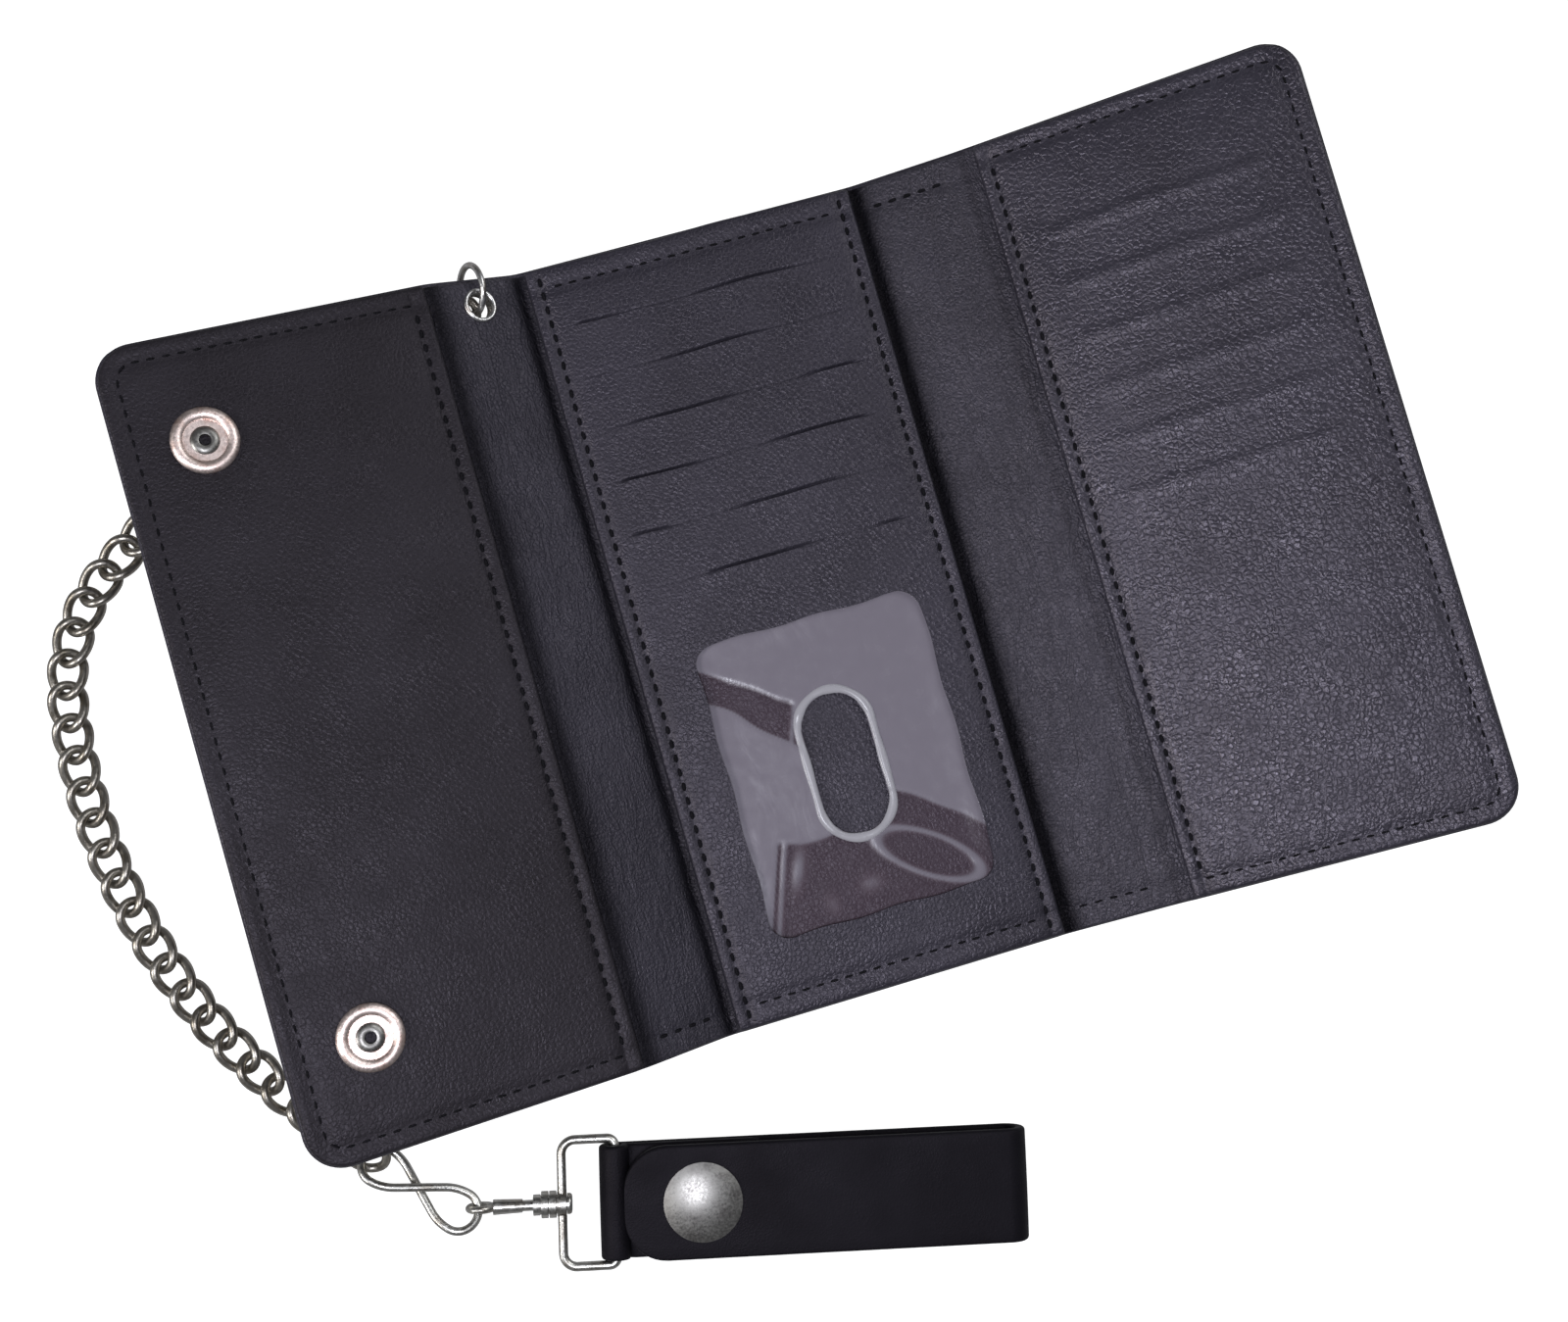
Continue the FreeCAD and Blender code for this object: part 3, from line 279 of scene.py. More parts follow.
def sheet(name, s_span, y_span, low, high, material, rounding=0.8, corners=None, near_s=(), near_y=(),
          flat_sides=(), step=1.3, slide=None):
    """A closed leather or cloth sheet. low and high are heights, or functions of s, y and the edge distance.
    Its edges are rounded, except the flat_sides ("left", "right"), where it meets the next sheet."""
    s, y = np.meshgrid(steps(*s_span, step, near_s), steps(*y_span, step, near_y), indexing="ij")
    far = 1e3
    distance = np.minimum.reduce([
        s - s_span[0] + (far if "left" in flat_sides else 0),
        s_span[1] - s + (far if "right" in flat_sides else 0),
        y - y_span[0], y_span[1] - y,
    ])
    edge = np.sqrt(1 - (1 - np.clip(distance / rounding, 0, 1)) ** 2)
    for (side_s, side_y), radius in (corners or {}).items():
        corner_s, corner_y = s_span[side_s > 0], y_span[side_y > 0]
        s, y = round_corner(s, y, corner_s, corner_y, side_s, side_y, radius)
    bottom = low(s, y, distance) if callable(low) else np.full(s.shape, low)
    top = high(s, y, distance) if callable(high) else np.full(s.shape, high)
    middle = (top + bottom) / 2
    moved = y + slide(s, y) if slide else y
    points = np.concatenate([
        place(s, moved, middle + (top - middle) * edge).reshape(-1, 3),
        place(s, moved, middle + (bottom - middle) * edge).reshape(-1, 3),
    ])
    rows, columns = s.shape
    below = rows * columns
    faces = grid_faces(rows, columns) + grid_faces(rows, columns, below, flip=True)
    rim = list(range(columns)) + [i * columns + columns - 1 for i in range(1, rows)]
    rim += [(rows - 1) * columns + j for j in range(columns - 2, -1, -1)]
    rim += [i * columns for i in range(rows - 2, 0, -1)]
    for here, there in zip(rim, rim[1:] + rim[:1]):
        faces.append((here, there, there + below, here + below))
    return tidy(new_piece(name, points, faces, material))


def waves(s, y, seed, length, amount):
    """Soft uneven ground: a few long waves in fixed directions."""
    random = np.random.default_rng(seed)
    total = np.zeros(np.shape(s))
    for _ in range(6):
        heading, phase = random.uniform(0, math.tau, 2)
        wave = length * random.uniform(0.7, 1.6)
        total += np.sin((s * math.cos(heading) + y * math.sin(heading)) * math.tau / wave + phase)
    return total * amount / 3


def grain(s, seed, amount):
    """Small unevenness from point to point."""
    return np.random.default_rng(seed).normal(0, amount, np.shape(s))


def bell(distance, width):
    """1 where distance is 0, and next to nothing beyond twice the width."""
    return np.exp(-(distance / width) ** 2)


def groove(distance, depth=0.5, width=0.85):
    return -depth * bell(distance, width)


# Materials

class Nodes:
    """A material's node tree, with short calls for the nodes used here."""

    def __init__(self, name):
        self.material = bpy.data.materials.new(name)
        self.material.use_nodes = True
        self.tree = self.material.node_tree
        self.shader = self.tree.nodes["Principled BSDF"]
        coordinates = self.tree.nodes.new("ShaderNodeTexCoord")
        scale = self.node("ShaderNodeVectorMath", operation="SCALE")
        scale.inputs["Scale"].default_value = 1 / MM
        self.join(coordinates.outputs["Object"], scale.inputs[0])
        self.millimetres = scale.outputs[0]

    def node(self, kind, **settings):
        made = self.tree.nodes.new(kind)
        for key, value in settings.items():
            setattr(made, key, value)
        return made

    def join(self, output, target):
        self.tree.links.new(output, target)

    def set(self, **values):
        for key, value in values.items():
            self.shader.inputs[key.replace("_", " ")].default_value = value

    def noise(self, size, detail=3.0, stretch=(1, 1, 1), distortion=0.0):
        """Noise whose features are about size millimetres."""
        mapping = self.node("ShaderNodeMapping")
        mapping.inputs["Scale"].default_value = stretch
        self.join(self.millimetres, mapping.inputs["Vector"])
        texture = self.node("ShaderNodeTexNoise")
        texture.inputs["Scale"].default_value = 1 / size
        texture.inputs["Detail"].default_value = detail
        texture.inputs["Distortion"].default_value = distortion
        self.join(mapping.outputs[0], texture.inputs["Vector"])
        return texture.outputs["Fac"]

    def cells(self, size):
        """Distance to the borders of Voronoi cells of about size millimetres. The borders are uneven."""
        shift = self.node("ShaderNodeTexNoise")
        shift.inputs["Scale"].default_value = 1.3 / size
        self.join(self.millimetres, shift.inputs["Vector"])
        moved = self.node("ShaderNodeVectorMath", operation="MULTIPLY_ADD")
        self.join(shift.outputs["Color"], moved.inputs[0])
        moved.inputs[1].default_value = (size * 0.7,) * 3
        self.join(self.millimetres, moved.inputs[2])
        texture = self.node("ShaderNodeTexVoronoi", feature="DISTANCE_TO_EDGE")
        texture.inputs["Scale"].default_value = 1 / size
        self.join(moved.outputs[0], texture.inputs["Vector"])
        return texture.outputs["Distance"]

    def ramp(self, value, *stops):
        """A colour ramp through (position, colour) stops."""
        made = self.node("ShaderNodeValToRGB")
        band = made.color_ramp
        while len(band.elements) < len(stops):
            band.elements.new(0.5)
        for element, (position, colour) in zip(band.elements, stops):
            element.position = position
            element.color = (*colour, 1) if isinstance(colour, tuple) else (colour, colour, colour, 1)
        self.join(value, made.inputs["Fac"])
        return made.outputs["Color"]

    def sum(self, first, second, weight):
        made = self.node("ShaderNodeMath", operation="MULTIPLY_ADD")
        self.join(second, made.inputs[0])
        made.inputs[1].default_value = weight
        self.join(first, made.inputs[2])
        return made.outputs[0]

    def multiply(self, first, second):
        """One colour times another."""
        made = self.node("ShaderNodeMix", data_type="RGBA", blend_type="MULTIPLY")
        made.inputs["Factor"].default_value = 1.0
        colours = [socket for socket in made.inputs if socket.type == "RGBA"]
        self.join(first, colours[0])
        self.join(second, colours[1])
        return next(socket for socket in made.outputs if socket.type == "RGBA")

    def bump(self, height, depth):
        """Relief that is depth millimetres high where height is 1."""
        made = self.node("ShaderNodeBump")
        made.inputs["Distance"].default_value = depth * MM
        self.join(height, made.inputs["Height"])
        return made.outputs["Normal"]

    def link(self, name, output):
        self.join(output, self.shader.inputs[name])


def leather(name, dark, light, pebble=1.0, depth=0.075, rough=(0.36, 0.5), specular=0.5, crease=None):
    """Pebbled leather: rounded grains between fine creases, with cloudy colour and worn, shinier patches.
    Creased leather also gets painted shade in the folds where its shade attribute is low: darker colour and
    weaker reflection."""
    nodes = Nodes(name)
    colour = nodes.ramp(nodes.noise(22, 4), (0.3, dark), (0.72, light))
    pebbles = nodes.ramp(nodes.cells(pebble), (0.0, 0.0), (0.28, 0.85), (0.6, 1.0))
    height = nodes.sum(pebbles, nodes.noise(0.35, 2), 0.35)
    height = nodes.sum(height, nodes.noise(4.5, 2), 0.7)
    nodes.set(Specular_IOR_Level=specular, Specular_Tint=(0.97, 0.88, 1.0, 1))
    if crease:
        folds = nodes.ramp(nodes.noise(crease, 5, (1.0, 0.28, 1.0), 1.2), (0.42, 0.0), (0.5, 1.0), (0.6, 0.3))
        height = nodes.sum(height, folds, 1.1)
        # Painted shade: the shade attribute darkens the colour and weakens the reflection in the folds
        shade = nodes.node("ShaderNodeAttribute", attribute_name="shade").outputs["Fac"]
        nodes.link("Specular IOR Level", nodes.ramp(shade, (0.0, 0.0), (1.0, specular)))
        colour = nodes.multiply(colour, shade)
    nodes.link("Base Color", colour)
    nodes.link("Normal", nodes.bump(height, depth))
    nodes.link("Roughness", nodes.ramp(nodes.noise(7, 4), (0.3, rough[0]), (0.7, rough[1])))
    return nodes.material


def metal(name, colour, rough, rim=0.25, scratch=0.04, stain=(0.45, 0.4, 0.36)):
    """Plated metal with fine scratches and darker stained patches, and painted shade: darker colour on the
    sides turned away from the camera.
    """
    nodes = Nodes(name)
    patches = nodes.noise(3.0, 5)
    lines = nodes.noise(0.5, 6)
    plate = nodes.ramp(patches, (0.34, stain), (0.52, colour), (1.0, colour))
    # Painted shade: the colour darkens to rim where the surface turns away from the camera
    away = nodes.node("ShaderNodeLayerWeight")
    away.inputs["Blend"].default_value = 0.35
    painted_edge_shade = nodes.ramp(away.outputs["Facing"], (0.3, 1.0), (0.9, rim))
    nodes.link("Base Color", nodes.multiply(plate, painted_edge_shade))
    nodes.link("Roughness", nodes.ramp(lines, (0.3, rough), (0.75, rough + 0.2)))
    nodes.link("Normal", nodes.bump(nodes.sum(lines, patches, 0.6), scratch))
    nodes.set(Metallic=1.0)
    return nodes.material


def cloth(name, colour):
    """Plain woven lining cloth."""
    nodes = Nodes(name)
    weave = nodes.node("ShaderNodeTexChecker")
    weave.inputs["Scale"].default_value = 2.2
    nodes.join(nodes.millimetres, weave.inputs["Vector"])
    nodes.link("Normal", nodes.bump(nodes.sum(weave.outputs["Fac"], nodes.noise(0.4, 3), 0.6), 0.06))
    lighter = tuple(c * 1.6 for c in colour)
    nodes.link("Base Color", nodes.ramp(nodes.noise(5, 4), (0.3, colour), (0.7, lighter)))
    nodes.set(Roughness=0.85)
    return nodes.material


def thread(name):
    """Twisted waxed thread."""
    nodes = Nodes(name)
    twist = nodes.node("ShaderNodeTexWave", bands_direction="DIAGONAL")
    twist.inputs["Scale"].default_value = 1.2
    nodes.join(nodes.millimetres, twist.inputs["Vector"])
    nodes.link("Normal", nodes.bump(twist.outputs["Fac"], 0.08))
    dark, light = (0.003, 0.003, 0.004), (0.008, 0.007, 0.010)
    nodes.link("Base Color", nodes.ramp(nodes.noise(2, 3), (0.3, dark), (0.7, light)))
    nodes.set(Roughness=0.75, Specular_IOR_Level=0.15)
    return nodes.material


def vinyl(name, reflection_colour, clear_colour, clear, reflecting_alpha):
    """Soft vinyl with painted reflection: lighter and less clear where its attribute says that the sheet
    catches the light, and clearer elsewhere.
    """
    nodes = Nodes(name)
    painted_reflection = nodes.node("ShaderNodeAttribute", attribute_name="painted_reflection").outputs["Fac"]
    cloud_and_reflection = nodes.sum(painted_reflection, nodes.noise(9, 3), 0.1)
    nodes.link("Alpha", nodes.ramp(cloud_and_reflection, (0.05, clear), (1.05, reflecting_alpha)))
    nodes.link("Normal", nodes.bump(nodes.noise(7, 3, (1.0, 0.55, 1.0), 1.0), 0.12))
    nodes.link("Base Color", nodes.ramp(painted_reflection, (0.0, clear_colour), (0.6, reflection_colour)))
    nodes.link("Roughness", nodes.ramp(nodes.noise(3, 3), (0.3, 0.16), (0.7, 0.3)))
    nodes.set(Specular_IOR_Level=0.4)
    return nodes.material


LEATHER = leather("pebbled_black_leather", (0.018, 0.0168, 0.023), (0.029, 0.027, 0.037), specular=0.43)
# Painted shade: the left panel's copy of the leather is darker and duller, for the less light that falls on
# it
SHADED_LEFT_LEATHER = leather("left_panel_leather_painted_shade", (0.015, 0.0133, 0.0155), (0.023, 0.0208, 0.025), depth=0.06,
                       specular=0.21)
# The gusset strips' leather, with painted shade in its folds
SHADED_CREASED_LEATHER = leather("creased_gusset_leather_painted_shade", (0.021, 0.020, 0.0265), (0.037, 0.035, 0.046),
                          specular=0.46, pebble=0.9, depth=0.1, crease=3.2)
# Painted light: the right panel's copy of the leather is lighter and glossier, for the more light that falls
# on it
LIT_RIGHT_LEATHER = leather("right_panel_leather_painted_light", (0.021, 0.0195, 0.0265), (0.033, 0.031, 0.042), pebble=1.15,
                        depth=0.085, rough=(0.3, 0.43))
STRAP_LEATHER = leather("smooth_strap_leather", (0.004, 0.0036, 0.005), (0.008, 0.0075, 0.010), pebble=0.6,
                        depth=0.03, rough=(0.48, 0.6), specular=0.12)
LINING_CLOTH = cloth("black_lining_cloth", (0.012, 0.012, 0.015))
THREAD = thread("black_waxed_thread")
# Painted reflection: the first colour and the last clearness are where the window's reflection is painted
VINYL = vinyl("clear_vinyl", (0.27, 0.245, 0.29), (0.16, 0.09, 0.12), 0.1, 0.62)
RIM_VINYL = vinyl("thumb_rim_vinyl", (0.40, 0.39, 0.42), (0.42, 0.41, 0.44), 0.85, 0.9)
SNAP_METAL = metal("warm_snap_metal", (0.95, 0.80, 0.74), 0.34, rim=0.5, stain=(0.80, 0.60, 0.53))
CAP_METAL = metal("satin_cap_metal", (0.27, 0.262, 0.245), 0.3, rim=0.3, scratch=0.004,
                  stain=(0.2, 0.19, 0.18))
CHAIN_METAL = metal("worn_nickel", (0.46, 0.43, 0.38), 0.28, rim=0.12, stain=(0.27, 0.24, 0.195))
SWIVEL_METAL = metal("swivel_nickel", (0.62, 0.61, 0.57), 0.25, rim=0.2, stain=(0.42, 0.39, 0.34))
EYELET_METAL = metal("bright_nickel", (0.72, 0.71, 0.7), 0.22, rim=0.35)


# Outer leather: four sheets, each shaped round one fold. They meet where the gussets and the middle are flat.

SEAM = 4.5
LEFT_SPLIT, RIGHT_SPLIT = LEFT_FOLD - 5.5, (RIGHT_FOLD + RIGHT_OUTER_FOLD) / 2


def across_fold(piece):
    """Bakes the piece's placement into its mesh."""
    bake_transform(piece)


def hide_top(low, high):
    """The outer leather's top: a raised seam round the closed edges of the panel that spans low to high."""
    def height(s, y, _distance):
        outer = np.minimum(s - LEFT_END, RIGHT_END - s)
        closed = 1 - smooth(np.minimum(outer, y + HALF), SEAM - 1.5, SEAM)
        on_panel = smooth(s, low, low + 1.5) * (1 - smooth(s, high - 1.5, high))
        return SHELL + 0.78 * closed * on_panel + waves(s, y, 3, 40, 0.03)
    return height


def hide_underside(s, y, _distance):
    return waves(s, y, 4, 35, 0.05) - 0.05 + grain(s, 5, 0.01)


def outer_leather():
    far = 20.0
    sheets = (
        ("left", (LEFT_END, LEFT_SPLIT), ("right",), {(-1, -1): CORNER, (-1, 1): CORNER},
         LEFT_END - far, LEFT_SPAN[1], LEFT_OUTER_FOLD, "left_panel", "left_gusset", ("left_panel_shell",)),
        ("middle_left", (LEFT_SPLIT, 0.0), ("left", "right"), {},
         MIDDLE_SPAN[0], far, LEFT_FOLD, "left_gusset", "middle", ("left_gusset_shell",)),
        ("middle_right", (0.0, RIGHT_SPLIT), ("left", "right"), {},
         -far, MIDDLE_SPAN[1], RIGHT_FOLD, "middle", "right_gusset", ("middle_shell",)),
        ("right", (RIGHT_SPLIT, RIGHT_END), ("left",), {(1, -1): CORNER, (1, 1): CORNER},
         RIGHT_OUTER_FOLD + 3.0, RIGHT_END + far, RIGHT_OUTER_FOLD, "right_gusset", "right_panel",
         ("right_gusset_shell", "right_panel_shell")),
    )
    for part, span, flat, corners, raised_from, raised_to, fold, left_body, right_body, nodes in sheets:
        near = [s for s in FOLDS if span[0] < s < span[1]]
        piece = sheet(f"outer_leather_{part}", span, (-HALF, HALF), hide_underside,
                      hide_top(raised_from, raised_to), LEATHER, rounding=0.6,
                      corners=corners, near_s=near, flat_sides=flat)
        if part == "left":
            cut(piece, eyelet_cutter())
        across_fold(piece)
        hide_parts(*nodes)


def eyelet_cutter():
    """A post through the left gusset where the eyelet sits."""
    low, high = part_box("chain_eyelet")
    centre = (low + high) / 2
    axis = place_vector(LEFT_SPLIT - 5, 0, 10) - place_vector(LEFT_SPLIT - 5, 0, 0)
    turn = Vector((0, 0, 1)).rotation_difference(axis).to_matrix()
    reach, sides = 8 * MM, 48
    rim = circle(sides, 3.1 * MM)
    points = [centre + turn @ Vector((x, y, end)) for end in (-reach, reach) for x, y in rim]
    return new_piece("eyelet_cutter", points, tube_faces(2, sides), LEATHER)


# Inner leather strips of the gussets, tucked under the panels' linings

def strip_heights(left_edge, right_edge, deep_line, seed):
    """The strip's top: creased on the gusset, sunk along deep_line, low where it goes under the linings."""
    def height(s, y, _distance):
        shown = smooth(s, left_edge - 1.5, left_edge + 0.8)
        shown *= 1 - smooth(s, right_edge - 0.8, right_edge + 1.5)
        across = np.sin((s * 0.5 + y * 1.15 + waves(s, y, seed, 18, 2.2)) * math.tau / 3.1)
        wrinkle = 0.055 * across * (0.5 + 0.5 * np.sin(y / 9 + waves(s, y, seed + 1, 30, 2)))
        puckers = waves(s, y, seed + 2, 14, 0.09)
        end = np.minimum(y + HALF, HALF - MOUTH_DROP - y)
        seam = groove(end - 5.0, 0.25) - 0.75 * bell(s - deep_line, 1.7)
        top = TUCKED + (STRIP_TOP - TUCKED + wrinkle + puckers + seam) * shown + grain(s, seed, 0.012)
        return np.maximum(top, SHELL + 0.15)
    return height


# Painted shade in the folds: place in x, width and darkness
LEFT_FOLD_SHADE = ((-54.5, 2.6, 0.75), (-36.6, 1.8, 0.7))
RIGHT_FOLD_SHADE = ((37.4, 2.9, 0.88), (60.5, 0.8, 0.3))


def add_shade(piece, shade_lines):
    """Stores how much light reaches each point of a strip, as its shade."""
    across = places_of(piece)[:, 0]
    light = np.ones(len(across))
    for middle, width, darkness in shade_lines:
        light *= 1 - darkness * bell(across - middle, width)
    store(piece, "shade", light)


def gusset_strips():
    tuck = 2.6
    spans = (
        ("left", LEFT_SPAN[1], MIDDLE_SPAN[0], LEFT_FOLD + 0.8, LEFT_OUTER_FOLD, LEFT_FOLD, LEFT_SPLIT,
         "left_panel", "middle", LEFT_FOLD_SHADE, 11),
        ("right", MIDDLE_SPAN[1], RIGHT_OUTER_FOLD + 4.1, RIGHT_FOLD + 0.6, RIGHT_FOLD, RIGHT_OUTER_FOLD,
         RIGHT_SPLIT, "middle", "right_panel", RIGHT_FOLD_SHADE, 21),
    )
    for (side, left, right, deep_line, left_fold, right_fold, split, left_body, right_body, shade_lines,
         seed) in spans:
        body, y_span = f"{side}_gusset", (-HALF + 0.4, HALF - MOUTH_DROP)
        top = strip_heights(left, right, deep_line, seed)
        halves = (
            ("a", (left - tuck, split), ("right",), left_fold, left_body, body),
            ("b", (split, right + tuck), ("left",), right_fold, body, right_body),
        )
        for letter, span, flat, fold, first, second in halves:
            piece = sheet(f"{body}_leather_{letter}", span, y_span, SHELL + 0.03, top, SHADED_CREASED_LEATHER,
                          rounding=0.4, near_s=(fold,), flat_sides=flat, step=0.9)
            if side == "left" and letter == "a":
                cut(piece, eyelet_cutter())
            # Painted shade along the folds, stored for the creased leather's colour and reflection
            add_shade(piece, shade_lines)
            across_fold(piece)
            if letter == "a":
                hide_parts(f"{body}_strip")


# Linings, faces, card slots and the identity card window

EDGE_SEAM, FOLD_SEAM, END_SEAM = 3.6, 2.9, 4.6

SLOT_STEP = 11.5
SLOTS = [68.5 - SLOT_STEP * i for i in range(6)]
SLOT_HALF = 27.5
WINDOW_X, WINDOW_Y, WINDOW_WIDTH, WINDOW_HEIGHT, WINDOW_CORNER = 1.5, -35.3, 49.0, 63.0, 4.5
THUMB_WIDTH, THUMB_HEIGHT, THUMB_RIM = 14.0, 30.0, 1.8


def left_top(s, y, distance):
    """Left face: seam grooves, a soft swelling inside them and a faint crease half way up."""
    outer = np.minimum.reduce([s - LEFT_SPAN[0], y - INNER_LOW, INNER_HIGH - y])
    inner = LEFT_SPAN[1] - s
    crease = -0.22 * bell(y - 14 - (s + 90) * 0.3, 3.0) * smooth(s, -100, -72)
    swelling = 0.25 * smooth(distance, 4, 18)
    return (LEFT_TOP - 0.2 + swelling + groove(outer - EDGE_SEAM) + groove(inner - FOLD_SEAM) + crease
            + waves(s, y, 31, 45, 0.14) + grain(s, 32, 0.012))


def slot_shape(s, y):
    """Each card slot is a narrow groove whose lower lip stands a little proud."""
    height = np.zeros(np.shape(s))
    for number, slot in enumerate(SLOTS):
        shown = 1 - smooth(np.abs(s + 0.4 * math.sin(number * 2.1)), SLOT_HALF - 1.2, SLOT_HALF + 0.4)
        gap = np.clip(0.5 + 0.6 * np.sin(s / 6 + number * 1.7), 0.08, 1)
        height -= shown * 0.62 * gap * bell(y - slot, 0.2)
        below = slot - y
        height += 0.26 * shown * gap * np.exp(-np.clip(below, 0, 99) / 2.2) * (below > 0.2)
    return height


def slot_slide(s, y):
    """Makes the slots slightly wavy along their length."""
    near = smooth(y, -2, 5)
    return near * (0.16 * np.sin(s / 8.5) + 0.08 * np.sin(s / 3.6 + y))


def middle_top(s, y, distance):
    side = np.minimum(s - MIDDLE_SPAN[0], MIDDLE_SPAN[1] - s)
    end = np.minimum(y - INNER_LOW, INNER_HIGH - y)
    swelling = 0.2 * smooth(distance, 4, 14)
    return (MIDDLE_TOP - 0.2 + swelling + groove(side - FOLD_SEAM) + groove(end - END_SEAM) + slot_shape(s, y)
            + waves(s, y, 41, 32, 0.09) + grain(s, 42, 0.01))


def right_top(s, y, distance):
    """Right face: seam grooves and the steps of the hidden card pockets pressing through its upper half."""
    outer = np.minimum.reduce([RIGHT_SPAN[1] - s, y - INNER_LOW, INNER_HIGH - y])
    inner = s - RIGHT_SPAN[0]
    pockets = np.zeros(np.shape(s))
    left_limit = RIGHT_SPAN[0] + 8
    for number in range(6):
        edge = 59 - SLOT_STEP * number
        shown = smooth(s, left_limit, left_limit + 5) * (1 - smooth(s, RIGHT_SPAN[1] - 14, RIGHT_SPAN[1] - 9))
        pockets += shown * 0.42 * bell(y - edge, 0.8)
    side = smooth(y, -2, 6) * (1 - smooth(y, 60, 64))
    pockets += 0.14 * side * bell(s - left_limit, 1.2)
    swelling = 0.3 * smooth(distance, 4, 20)
    return (RIGHT_TOP - 0.25 + swelling + groove(outer - EDGE_SEAM) + groove(inner - FOLD_SEAM) + pockets
            + waves(s, y, 51, 42, 0.16) + grain(s, 52, 0.012))


def linings():
    spans = (("left", LEFT_SPAN, "left_panel"), ("middle", MIDDLE_SPAN, "middle"),
             ("right", RIGHT_SPAN, "right_panel"))
    for side, span, body in spans:
        piece = sheet(f"{side}_bill_lining", span, (INNER_LOW, INNER_HIGH), LINING_LOW + 0.02,
                      FACE_LOW - 0.02, LINING_CLOTH, rounding=0.2,
                      corners=panel_corners(side), step=3.0)
        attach(piece, body)
        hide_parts(f"{side}_lining")


def panel_corners(side):
    """The outer corners of the side panels are round; the others are only eased."""
    large, small = CORNER - FACE_INSET, 1.0
    left, right = (large if side == "left" else small), (large if side == "right" else small)
    return {(-1, -1): left, (-1, 1): left, (1, -1): right, (1, 1): right}


def rounded_outline(centre_s, centre_y, width, height, radius, per_corner=12):
    """Points of a rounded rectangle, and of an obround when the radius is half the width."""
    points = []
    for side_s, side_y, start in ((1, 1, 0), (-1, 1, 90), (-1, -1, 180), (1, -1, 270)):
        corner = (centre_s + side_s * (width / 2 - radius), centre_y + side_y * (height / 2 - radius))
        points += arc(corner, radius, start, start + 90, per_corner)
    return points


def outline_cutter(outline, low, high):
    """An upright block with this outline."""
    points = [place_vector(s, y, h) for h in (low, high) for s, y in outline]
    return new_piece("outline_cutter", points, tube_faces(2, len(outline)), LEATHER)


def faces():
    sides = (
        ("left", LEFT_SPAN, left_top, SHADED_LEFT_LEATHER, 0.9, LEFT_SPAN[1] - FOLD_SEAM),
        ("right", RIGHT_SPAN, right_top, LIT_RIGHT_LEATHER, 1.0, RIGHT_SPAN[0] + FOLD_SEAM),
    )
    for side, span, top, material, rounding, seam in sides:
        piece = sheet(f"{side}_inner_face", span, (INNER_LOW, INNER_HIGH), FACE_LOW, top, material,
                      rounding=rounding, corners=panel_corners(side), near_s=(seam,))
        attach(piece, f"{side}_panel")
        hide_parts(f"{side}_face")
    middle = sheet("middle_inner_face", MIDDLE_SPAN, (INNER_LOW, INNER_HIGH), pocket_ceiling, middle_top,
                   LEATHER, rounding=0.9, corners=panel_corners("middle"), near_y=SLOTS,
                   near_s=(MIDDLE_SPAN[0] + FOLD_SEAM, MIDDLE_SPAN[1] - FOLD_SEAM), slide=slot_slide)
    opening = rounded_outline(WINDOW_X, WINDOW_Y, WINDOW_WIDTH, WINDOW_HEIGHT, WINDOW_CORNER)
    wavy = [(s + 0.25 * math.sin(y / 3.1), y + 0.25 * math.sin(s / 2.7)) for s, y in densify(opening, 1.5)]
    cut(middle, outline_cutter(wavy, -2, 12))
    middle.data.set_sharp_from_angle(angle=math.radians(50))
    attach(middle, "middle")
    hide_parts("middle_face")


def densify(outline, step):
    """The same closed outline with points no further apart than step."""
    result = []
    for (s, y), (next_s, next_y) in zip(outline, outline[1:] + outline[:1]):
        count = max(1, math.ceil(math.hypot(next_s - s, next_y - y) / step))
        for i in range(count):
            result.append((s + (next_s - s) * i / count, y + (next_y - y) * i / count))
    return result


def pocket_ceiling(_s, _y, distance):
    """The middle face is thick only at its turned edge; inside it is a single leather over the pockets."""
    return FACE_LOW + (MIDDLE_TOP - 1.0 - FACE_LOW) * smooth(distance, SEAM - 1, SEAM)


def card_sheets():
    """Stepped pocket sheets behind the slots, and the two hidden ones in the right panel."""
    sheets = [
        (f"card_sheet_{i + 1}", (-29.0, 29.0), (1.0, slot + 0.8), FACE_LOW + 0.04 + 0.26 * i, 0.18, 0.1,
         "middle")
        for i, slot in enumerate(SLOTS)
    ]
    hidden_span = (RIGHT_SPAN[0] + 7, RIGHT_SPAN[1] - 7)
    sheets += [
        (f"hidden_card_sheet_{i + 1}", hidden_span, (-9.0, 60.0 - SLOT_STEP * i), FACE_LOW + 0.05 + 0.4 * i,
         0.3, 0.15, "right_panel")
        for i in range(2)
    ]
    stands_for = {"card_sheet_1": "card_pocket_sheets", "hidden_card_sheet_1": "right_card_pockets"}
    for name, span, y_span, low, thickness, rounding, body in sheets:
        piece = sheet(name, span, y_span, low, low + thickness, LINING_CLOTH,
                      rounding=rounding, step=4.0)
        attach(piece, body)
        if name in stands_for:
            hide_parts(stands_for[name])


def oval(u, v, centre_u, centre_v, width, height):
    """A soft oval spot, 1 in its middle."""
    return bell(u - centre_u, width) * bell(v - centre_v, height)


